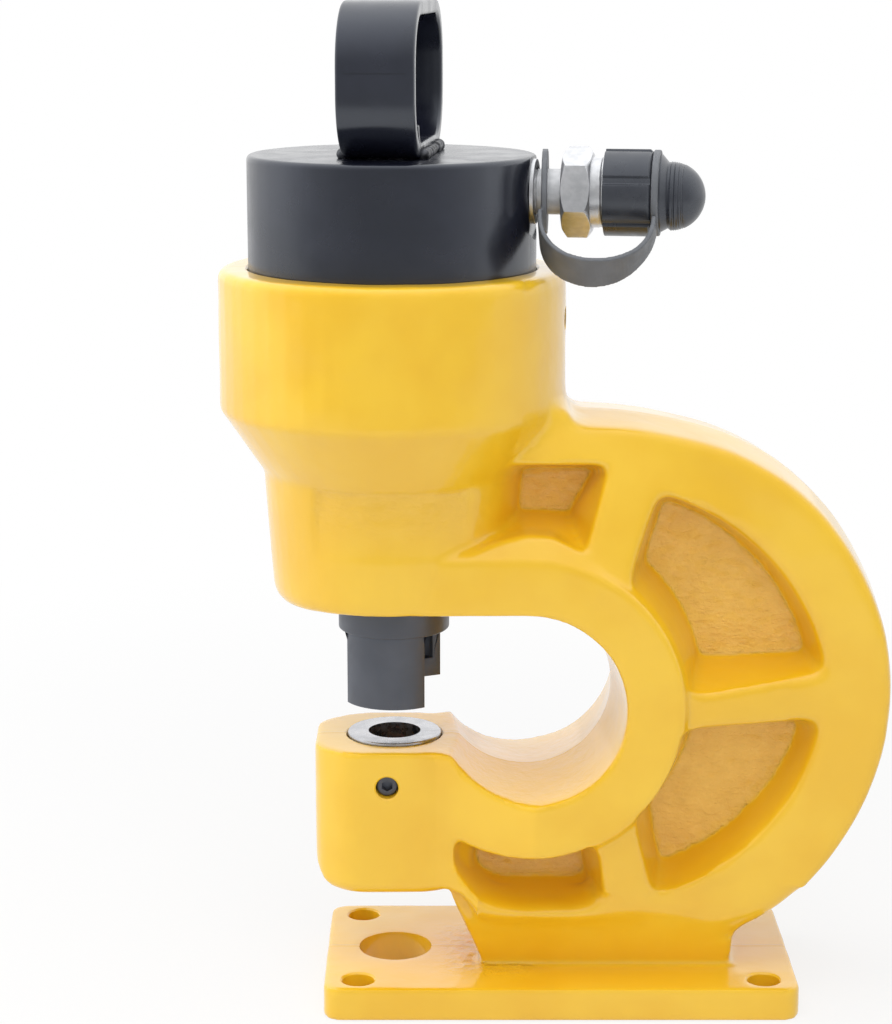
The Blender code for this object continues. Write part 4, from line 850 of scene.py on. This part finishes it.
def arc(centre_x, centre_y, radius, start, end, count):
    """Points from the angle start to the angle end, in degrees."""
    angles = [math.radians(start + (end - start) * index / count) for index in range(count + 1)]
    return [(centre_x + radius * math.cos(angle), centre_y + radius * math.sin(angle)) for angle in angles]


def strap(line, closed, thickness):
    """A strap over a side view of (y, z) points: swept sideways, then thickened to the line's left."""
    bm = bmesh.new()
    points = [bm.verts.new((-STRAP_W / 2, y, z)) for y, z in line]
    edges = [bm.edges.new(pair) for pair in zip(points, points[1:] + points[:1] if closed else points[1:])]
    swept = bmesh.ops.extrude_edge_only(bm, edges=edges)["geom"]
    moved = [item for item in swept if isinstance(item, bmesh.types.BMVert)]
    bmesh.ops.translate(bm, verts=moved, vec=(STRAP_W, 0, 0))
    bmesh.ops.recalc_face_normals(bm, faces=bm.faces)
    obj = spare_object(bm)
    modifier = obj.modifiers.new("thickness", "SOLIDIFY")
    modifier.thickness, modifier.offset, modifier.use_even_offset = thickness, -1, True
    bm = settled(obj)
    bmesh.ops.recalc_face_normals(bm, faces=bm.faces)
    return bm


flat = HANDLE_HALF - CORNER_R
low_z, high_z = STRAP_LOW + CORNER_R, STRAP_LOW + HANDLE_HIGH - CORNER_R
loop = arc(flat, low_z, CORNER_R, -90, 0, 14) + arc(flat, high_z, CORNER_R, 0, 90, 14)
loop += arc(-flat, high_z, CORNER_R, 90, 180, 14) + arc(-flat, low_z, CORNER_R, 180, 270, 14)
handle = bevelled(strap(loop, True, STRAP_T), 0.0012, 4, 50)
seam = block((-SEAM_HALF, SEAM_HALF), (-HANDLE_HALF - 0.001, -HANDLE_HALF + SEAM_DEPTH), SEAM_Z)
handle = carve(handle, seam)
piece("handle_strap", handle, black_paint, "frame", ("lifting_handle",), AT_HANDLE)

# %% The strap's turned-up end
LAP_R = 0.0085
inner_z = STRAP_LOW + STRAP_T
end_line = [(LAP_R - flat, inner_z - 0.0003), (-flat, inner_z - 0.0003)]
end_line += arc(-flat, inner_z + LAP_R, LAP_R, 270, 186, 8)[1:]
end_piece = bevelled(strap(end_line, False, STRAP_T / 2), 0.0006, 2, 50)
piece("handle_strap_end", end_piece, black_paint, "frame", place=AT_HANDLE)

# %% Weld beads
lumps = []
for side in (-1, 1):
    for index in range(19):
        y = -flat + 2 * flat * index / 18
        wander = noise.noise((side * 3.1, index * 1.7, 0.4))
        size = 0.0023 + 0.0007 * noise.noise((index * 2.3, side, 5.2))
        lump = bmesh.new()
        centre = (side * (STRAP_W / 2 + 0.0006 + 0.0005 * wander), y, STRAP_LOW + 0.0012 + 0.0006 * wander)
        bmesh.ops.create_icosphere(lump, subdivisions=3, radius=size, matrix=Matrix.Translation(centre))
        lumps.append(lump)
weld = relaxed(voxelled(joined(*lumps), 0.00042), 1)
weld = carve(weld, block((-0.03, 0.03), (-0.05, 0.05), (BARREL_TOP_Z - 0.01, BARREL_TOP_Z + 0.0001)))
piece("handle_welds", weld, weld_finish, "frame", place=AT_HANDLE, sharp=60)

# %% [markdown]
# Screws
# Both lock screws are headless: a stub with a six-sided socket, a chamfered rim and a few turns of thread that
# show where the hole's chamfer leaves room.

# %% Set screws
SCREW_R = 0.00425


def threaded(bm, radius, low, high, pitch, depth):
    """Presses a screw thread into the rows of a lathed shape that lie at this radius."""
    for point in bm.verts:
        spread = math.hypot(point.co.x, point.co.y)
        if abs(spread - radius) < 1e-5 and low < point.co.z < high:
            turn = point.co.z / pitch - math.atan2(point.co.y, point.co.x) / (2 * math.pi)
            ends = min(1.0, (point.co.z - low) / pitch, (high - point.co.z) / pitch)
            share = 1 - depth * ends * abs(2 * (turn % 1.0) - 1) / spread
            point.co.x *= share
            point.co.y *= share
    return bm


def rows(radius, low, high, step):
    """A straight side of a lathe's outline, from high down to low, with enough rows for a thread."""
    count = max(1, round((high - low) / step))
    return [(radius, high - (high - low) * index / count) for index in range(count + 1)]


def set_screw(tip, end):
    rim = 0.0005
    side = rows(SCREW_R, tip + rim, end - rim, 0.0002)
    shape = lathe([(0, end), (SCREW_R - rim, end), *side, (SCREW_R - rim, tip), (0, tip)], 40)
    threaded(shape, SCREW_R, tip + rim, end - rim, 0.00125, 0.0003)
    socket = rod(0.0024, end - 0.003, end + 0.001, 6)
    return carve(shape, socket)


piece("barrel_lock_screw_skin", set_screw(0.0569, 0.0649), black_oxide, "frame", ("barrel_lock_screw",),
      AT_PUNCH @ BARREL_SCREW)
piece("die_lock_screw_skin", set_screw(0.0194, 0.0254), black_oxide, "frame", ("die_lock_screw",),
      AT_PUNCH @ DIE_SCREW)

# %% [markdown]
# Stripper, punch and die
# The stripper is a ring screwed up into the boss. Two windows with radial walls open its sides, which leaves a
# broad leg in front and a shorter one behind, so the punch can be seen. The nut holds the punch by its head, and
# the die below is a hardened ring with a sharp lip.

# %% Stripper
FOOT_Z = 0.1215
RING_Z = 0.151
FOOT_TOP_Z = 0.1355
LEG_HALF, LEG_DEPTH = 0.016, 0.0128
AT_STRIPPER = AT_PUNCH @ Matrix.Rotation(math.radians(-STRIPPER_TURN), 4, "Z")
top_z = STRIPPER_SEAT_Z - GAP
stripper = [(0.0223, top_z), (0.0223, RING_Z), (0.0205, RING_Z), (0.0205, FOOT_Z), (0.0109, FOOT_Z),
            (0.0109, FOOT_TOP_Z), (0.0171, FOOT_TOP_Z), (0.0171, top_z)]
stripper = lathe(softened(stripper, (1, 4), 0.0008), 120, ring=True)
for side in (-1, 1):
    window = [(0, 0), (side * 2 * LEG_HALF, -2 * LEG_DEPTH), (side * 2 * LEG_HALF, 2 * LEG_DEPTH)]
    stripper = carve(stripper, prism(window, FOOT_Z - 0.01, RING_Z))
stripper = carve(stripper, block((-0.04, 0.04), (0.0003, 0.04), (FOOT_Z - 0.01, FOOT_Z + 0.0065)))
stripper = bevelled(stripper, 0.0006, 3, 45)
piece("stripper_skin", stripper, black_oxide, "frame", ("stripper",), AT_STRIPPER)

# %% Punch, nut and die
NUT_TOP_Z, NUT_LOW_Z = 0.1785, 0.156
PUNCH_TIP_Z = 0.1245
nut = [(0.0165, NUT_TOP_Z), (0.0165, NUT_LOW_Z), (0.01055, NUT_LOW_Z), (0.01055, 0.161), (0.0123, 0.161),
       (0.0123, NUT_TOP_Z)]
nut = lathe(softened(nut, (0, 1, 2), 0.001), 80, ring=True)
for angle in (0, 90, 180, 270):
    turned = Matrix.Rotation(math.radians(angle + 45), 4, "Z")
    nut = carve(nut, rod(0.0021, 0.010, 0.030, 24, turned @ Matrix.Translation((0, 0, 0.1695)) @ ALONG_X))
piece("punch_nut_skin", bevelled(nut, 0.0003, 2, 50), black_oxide, "ram", ("punch_nut",), AT_PUNCH)

punch = [(0, 0.1677), (0.0121, 0.1677), (0.0121, 0.1613), (0.01025, 0.1613), (0.01025, PUNCH_TIP_Z),
         (0.003, PUNCH_TIP_Z), (0, PUNCH_TIP_Z - 0.0015)]
piece("punch_skin", lathe(softened(punch, (1, 2, 4), 0.0003), 96), steel, "ram", ("punch",), AT_PUNCH)

die = [(0.019, 0.107), (0.019, 0.0823), (0.012, 0.0823), (0.012, 0.101), (0.0106, 0.101), (0.0106, 0.107)]
piece("die_skin", lathe(softened(die, (0, 1), 0.0009), 96, ring=True), steel, "frame", ("die",), AT_PUNCH)

# %% [markdown]
# The coupler
# A threaded nipple leads from the port to a six-sided coupler half, plated with zinc. The hexagon's corners are
# turned off at both ends, which gives the curved bites that every nut has. Both threads are true helixes: the
# rows of a turned bar are pressed in by an amount that depends on height and angle together.

# %% Adapter and hexagon
HEX_X, HEX_END_X = 0.0672, 0.0784
NECK_R, NECK_END_X = 0.0135, 0.0991
HEX_ACROSS = 0.0304
HEX_TURN = 20.5
THREAD_R = 0.00875
side = rows(THREAD_R, 0.0380, 0.0755, 0.00026)
nipple = lathe([(0.003, 0.0758), (THREAD_R - 0.0004, 0.0758), *side, (THREAD_R - 0.0004, 0.0376), (0.003, 0.0376)],
               56, ring=True)
piece("port_adapter_skin", threaded(nipple, THREAD_R, 0.038, 0.0585, 0.0014, 0.0006), zinc_pale, "frame",
      ("port_adapter",), AT_PORT)

corner, flat_r = HEX_ACROSS / math.sqrt(3), HEX_ACROSS / 2
hexagon = rod(corner, HEX_X, HEX_END_X, 6, Matrix.Rotation(math.radians(HEX_TURN), 4, "Z"))
bites = lathe([(0, HEX_END_X + GAP), (flat_r - 0.0006, HEX_END_X + GAP), (corner + GAP, HEX_END_X - 0.0021),
               (corner + GAP, HEX_X + 0.0021), (flat_r - 0.0006, HEX_X - GAP), (0, HEX_X - GAP)], 120)
hexagon = bevelled(carve(hexagon, bites, "INTERSECT"), 0.00035, 2, 20)
neck = rows(NECK_R, HEX_END_X - 0.003, NECK_END_X - 0.0012, 0.00028)
neck = lathe([(0, NECK_END_X), (NECK_R - 0.0012, NECK_END_X), *neck, (0, HEX_END_X - 0.003)], 72)
threaded(neck, NECK_R, HEX_END_X + 0.0024, NECK_END_X - 0.001, 0.0016, 0.0004)
coupler = carve(hexagon, neck, "UNION")
bore = [(0, NECK_END_X + 0.002), (0.0082, NECK_END_X + 0.002), (0.0062, NECK_END_X), (0.0062, NECK_END_X - 0.003),
        (0.0085, NECK_END_X - 0.003), (0.0085, 0.0781), (0.003, 0.0781), (0.003, 0.0762), (PORT_R, 0.0762),
        (PORT_R, HEX_X + 0.0006), (0.0110, HEX_X - 0.0013), (0, HEX_X - 0.0013)]
coupler = carve(coupler, lathe(bore, 48))
piece("coupler_skin", coupler, zinc, "frame", ("coupler_body",), AT_PORT, sharp=30)

# %% [markdown]
# The dust cap
# A moulded cap screws over the coupler's neck. Its grip has six wide grooves for the fingers, its far end a
# tapered collar, and then a soft grooved knob with a domed end. The knob is rubber and droops a little.

# %% Cap
CAP_X, CAP_END_X, CAP_R = 0.0833, 0.1014, 0.0166
GROOVES, GROOVE_HALF, GROOVE_DEPTH, FIRST_GROOVE = 6, 6.5, 0.0009, 189.0
CAP_NECK_R = 0.013


def grooved_circle(steps=288):
    points = []
    for index in range(steps):
        angle = 360 * index / steps
        spacing = 360 / GROOVES
        away = abs((angle - FIRST_GROOVE + spacing / 2) % spacing - spacing / 2)
        radius = CAP_R - GROOVE_DEPTH * ramp(away, GROOVE_HALF, GROOVE_HALF - 2.5)
        points.append((radius * math.cos(math.radians(angle)), radius * math.sin(math.radians(angle))))
    return points


grip = prism(grooved_circle(), CAP_X, CAP_END_X)
edges = lathe(softened([(0, CAP_END_X + GAP), (CAP_R - 0.0012, CAP_END_X + GAP), (CAP_R + GAP, CAP_END_X - 0.0014),
                        (CAP_R + GAP, CAP_X + 0.0005), (CAP_R - 0.0003, CAP_X - GAP), (0, CAP_X - GAP)], (2, 3),
                       0.0003), 144)
grip = carve(grip, edges, "INTERSECT")
inside = lathe([(0, NECK_END_X + 0.004), (0.009, NECK_END_X + 0.004), (0.009, NECK_END_X + 0.0005),
                (NECK_R + GAP, NECK_END_X + 0.0005), (NECK_R + GAP, CAP_X - 0.002), (0, CAP_X - 0.002)], 72)
print("grip:", len(grip.faces), "faces")

# %% Knob and neck of the cap
KNOB_R, KNOB_X = 0.0132, 0.1083
KNOB_DROOP = 0.0011
KNOB_GROOVE, KNOB_PITCH, KNOB_GROOVED_TO = 0.00030, 0.00086, 0.1135
dome = [(0, KNOB_X + KNOB_R)]
for step in range(1, 61):
    angle = math.radians(90 * (1 - step / 60))
    height = KNOB_X + KNOB_R * math.sin(angle)
    wave = 0.5 + 0.5 * math.cos(2 * math.pi * (height - KNOB_X) / KNOB_PITCH)
    groove = KNOB_GROOVE * wave if height < KNOB_GROOVED_TO else 0.0
    dome.append(((KNOB_R - groove) * math.cos(angle), height))
knob = lathe([*dome, (CAP_NECK_R - 0.0004, KNOB_X - 0.0009), (0.0147, 0.1050), (0.0147, 0.1044),
              (CAP_NECK_R, 0.1044), (CAP_NECK_R, CAP_END_X - 0.0012), (0, CAP_END_X - 0.0012)], 120)
cap = carve(carve(grip, knob, "UNION"), inside)
for point in cap.verts:
    point.co.x += KNOB_DROOP * ramp(point.co.z, 0.1060, 0.1082)
piece("dust_cap_skin", cap, plastic, "cap", ("dust_cap",), AT_PORT, sharp=30)

# %% Cap ring
CAP_RING_R, CAP_RING_T = 0.0164, 0.0027
ring_x = CAP_END_X + GAP
cap_ring = [(CAP_RING_R, ring_x + CAP_RING_T), (CAP_RING_R, ring_x), (CAP_NECK_R + GAP, ring_x),
            (CAP_NECK_R + GAP, ring_x + CAP_RING_T)]
piece("cap_ring_skin", lathe(softened(cap_ring, (0, 1, 2, 3), 0.0006), 96, ring=True), rubber, "cap_ring",
      ("tether_cap_ring",), AT_PORT)

# %% [markdown]
# The tether
# A flat rubber strap hangs in a bow from a thin ring behind the coupler to the cap, and leans out to the front.
# Each section is turned to follow the bow, and the strap twists and narrows towards the cap. The ring and the
# strap are moulded as one, so voxels fuse them. On the tool itself, the strap's far end goes with the cap.

# %% Tether
EYE_X, EYE_T, EYE_R, EYE_TILT = 0.0588, 0.0022, 0.0163, 5.0
STRAP_DROP = 0.0506
TETHER_W, TETHER_T = 0.0135, 0.0018
LEAN = math.radians(50)


def tether_line(share):
    """The strap's middle line as (along the port's axis, distance below it)."""
    start_x, end_x = EYE_X + EYE_T / 2, CAP_END_X + GAP + 0.00135
    corners = ((start_x, 0.0157), (start_x, STRAP_DROP), (end_x, STRAP_DROP), (end_x, 0.0168))
    weights = ((1 - share) ** 3, 3 * share * (1 - share) ** 2, 3 * share**2 * (1 - share), share**3)
    return sum((Vector(corner) * weight for corner, weight in zip(corners, weights)), Vector((0, 0)))


down = Vector((0, -math.sin(LEAN), -math.cos(LEAN)))
tether = bmesh.new()
sections = []
SECTIONS = 44
for index in range(SECTIONS + 1):
    share = index / SECTIONS
    x, drop = tether_line(share)
    tangent = (tether_line(min(1, share + 0.01)) - tether_line(max(0, share - 0.01))).normalized()
    along = Vector((tangent.x, 0, 0)) + down * tangent.y
    twist = LEAN + math.radians(6 - 26 * ramp(share, 0.45, 1.0))
    across = Vector((0, -math.cos(twist), math.sin(twist)))
    across = (across - along * across.dot(along)).normalized()
    normal = along.cross(across) * TETHER_T / 2
    across *= TETHER_W / 2 * (1 - 0.25 * ramp(share, 0.6, 1.0))
    middle = Vector((x, 0, PORT_Z)) + down * drop
    corners = (middle + normal + across, middle - normal + across,
               middle - normal - across, middle + normal - across)
    loop = [tether.verts.new(corner) for corner in corners]
    sections.append([tether.edges.new(pair) for pair in zip(loop, loop[1:] + loop[:1])])
for first, second in zip(sections, sections[1:]):
    bmesh.ops.bridge_loops(tether, edges=first + second)
bmesh.ops.holes_fill(tether, edges=sections[0] + sections[-1])
bmesh.ops.recalc_face_normals(tether, faces=tether.faces)
eye = lathe([(EYE_R, EYE_X + EYE_T), (EYE_R, EYE_X), (PORT_R, EYE_X), (PORT_R, EYE_X + EYE_T)], 96, ring=True)
tilted = Matrix.Translation((EYE_X + EYE_T / 2, 0, PORT_Z)) @ Matrix.Rotation(math.radians(EYE_TILT), 4, "Z")
eye.transform(tilted @ Matrix.Translation((-EYE_X - EYE_T / 2, 0, 0)) @ ALONG_X)
tether = relaxed(voxelled(joined(tether, eye), 0.00042), 3)
tether_skin = piece("tether_skin", tether, rubber, None, ("dust_cap_tether",), AT_CYLINDER, sharp=70)
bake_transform(tether_skin)

# %% [markdown]
# Springs
# Both springs are one round wire along a helix with closed end turns.

# %% Springs
def coil(mean_r, wire_r, turns, low, high, points=20):
    curve = bpy.data.curves.new("coil", "CURVE")
    curve.dimensions = "3D"
    curve.bevel_depth, curve.bevel_resolution, curve.use_fill_caps = wire_r, 3, True
    spline = curve.splines.new("POLY")
    count = round(turns * points)
    spline.points.add(count)
    closed = 2 * wire_r + 0.0004
    rise = high - low - 2 * wire_r - 2 * closed
    for index, point in enumerate(spline.points):
        turn = index / points
        share = max(0.0, min(1.0, (turn - 1) / (turns - 2)))
        height = low + wire_r + closed * (min(turn, 1.0) + max(0.0, turn - turns + 1)) + rise * share
        angle = 2 * math.pi * turn
        point.co = (mean_r * math.cos(angle), mean_r * math.sin(angle), height, 1)
    guide = bpy.data.objects.new("coil", curve)
    bpy.context.scene.collection.objects.link(guide)
    graph = bpy.context.evaluated_depsgraph_get()
    mesh = bpy.data.meshes.new_from_object(guide.evaluated_get(graph))
    bpy.data.objects.remove(guide)
    bm = bmesh.new()
    bm.from_mesh(mesh)
    bpy.data.meshes.remove(mesh)
    bmesh.ops.remove_doubles(bm, verts=bm.verts, dist=1e-6)
    bmesh.ops.recalc_face_normals(bm, faces=bm.faces)
    return bm


SPRING_LOW, SPRING_HIGH, STROKE = 0.2083, 0.268, 0.020
spring = piece("return_spring_skin", coil(0.020, 0.00225, 7.5, SPRING_LOW, SPRING_HIGH), steel, "frame",
               ("return_spring",), AT_PUNCH, sharp=60)
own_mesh(spring)
VALVE_LOW, VALVE_HIGH, VALVE_STROKE = 0.0784, 0.0910, 0.003
valve_spring = piece("coupler_spring_skin", coil(0.0055, 0.0005, 5.5, VALVE_LOW, VALVE_HIGH), steel, "frame",
                     ("coupler_spring",), AT_PORT, sharp=60)
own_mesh(valve_spring)

# %% [markdown]
# Parts that keep their CAD shape
# Turned parts deep inside are right as they are. They only need their finish.

# %% Finishes for the inner parts
FINISH_OF = {
    "guide_bush": bronze, "piston_wear_ring": bronze, "rod_wiper": rubber, "piston_seal": rubber,
    "coupler_seal": rubber, "piston_rod": steel, "coupler_poppet": steel,
}
for node, finish in FINISH_OF.items():
    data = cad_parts[node].data
    data.materials.clear()
    data.materials.append(finish)
print("finished in place:", ", ".join(FINISH_OF))
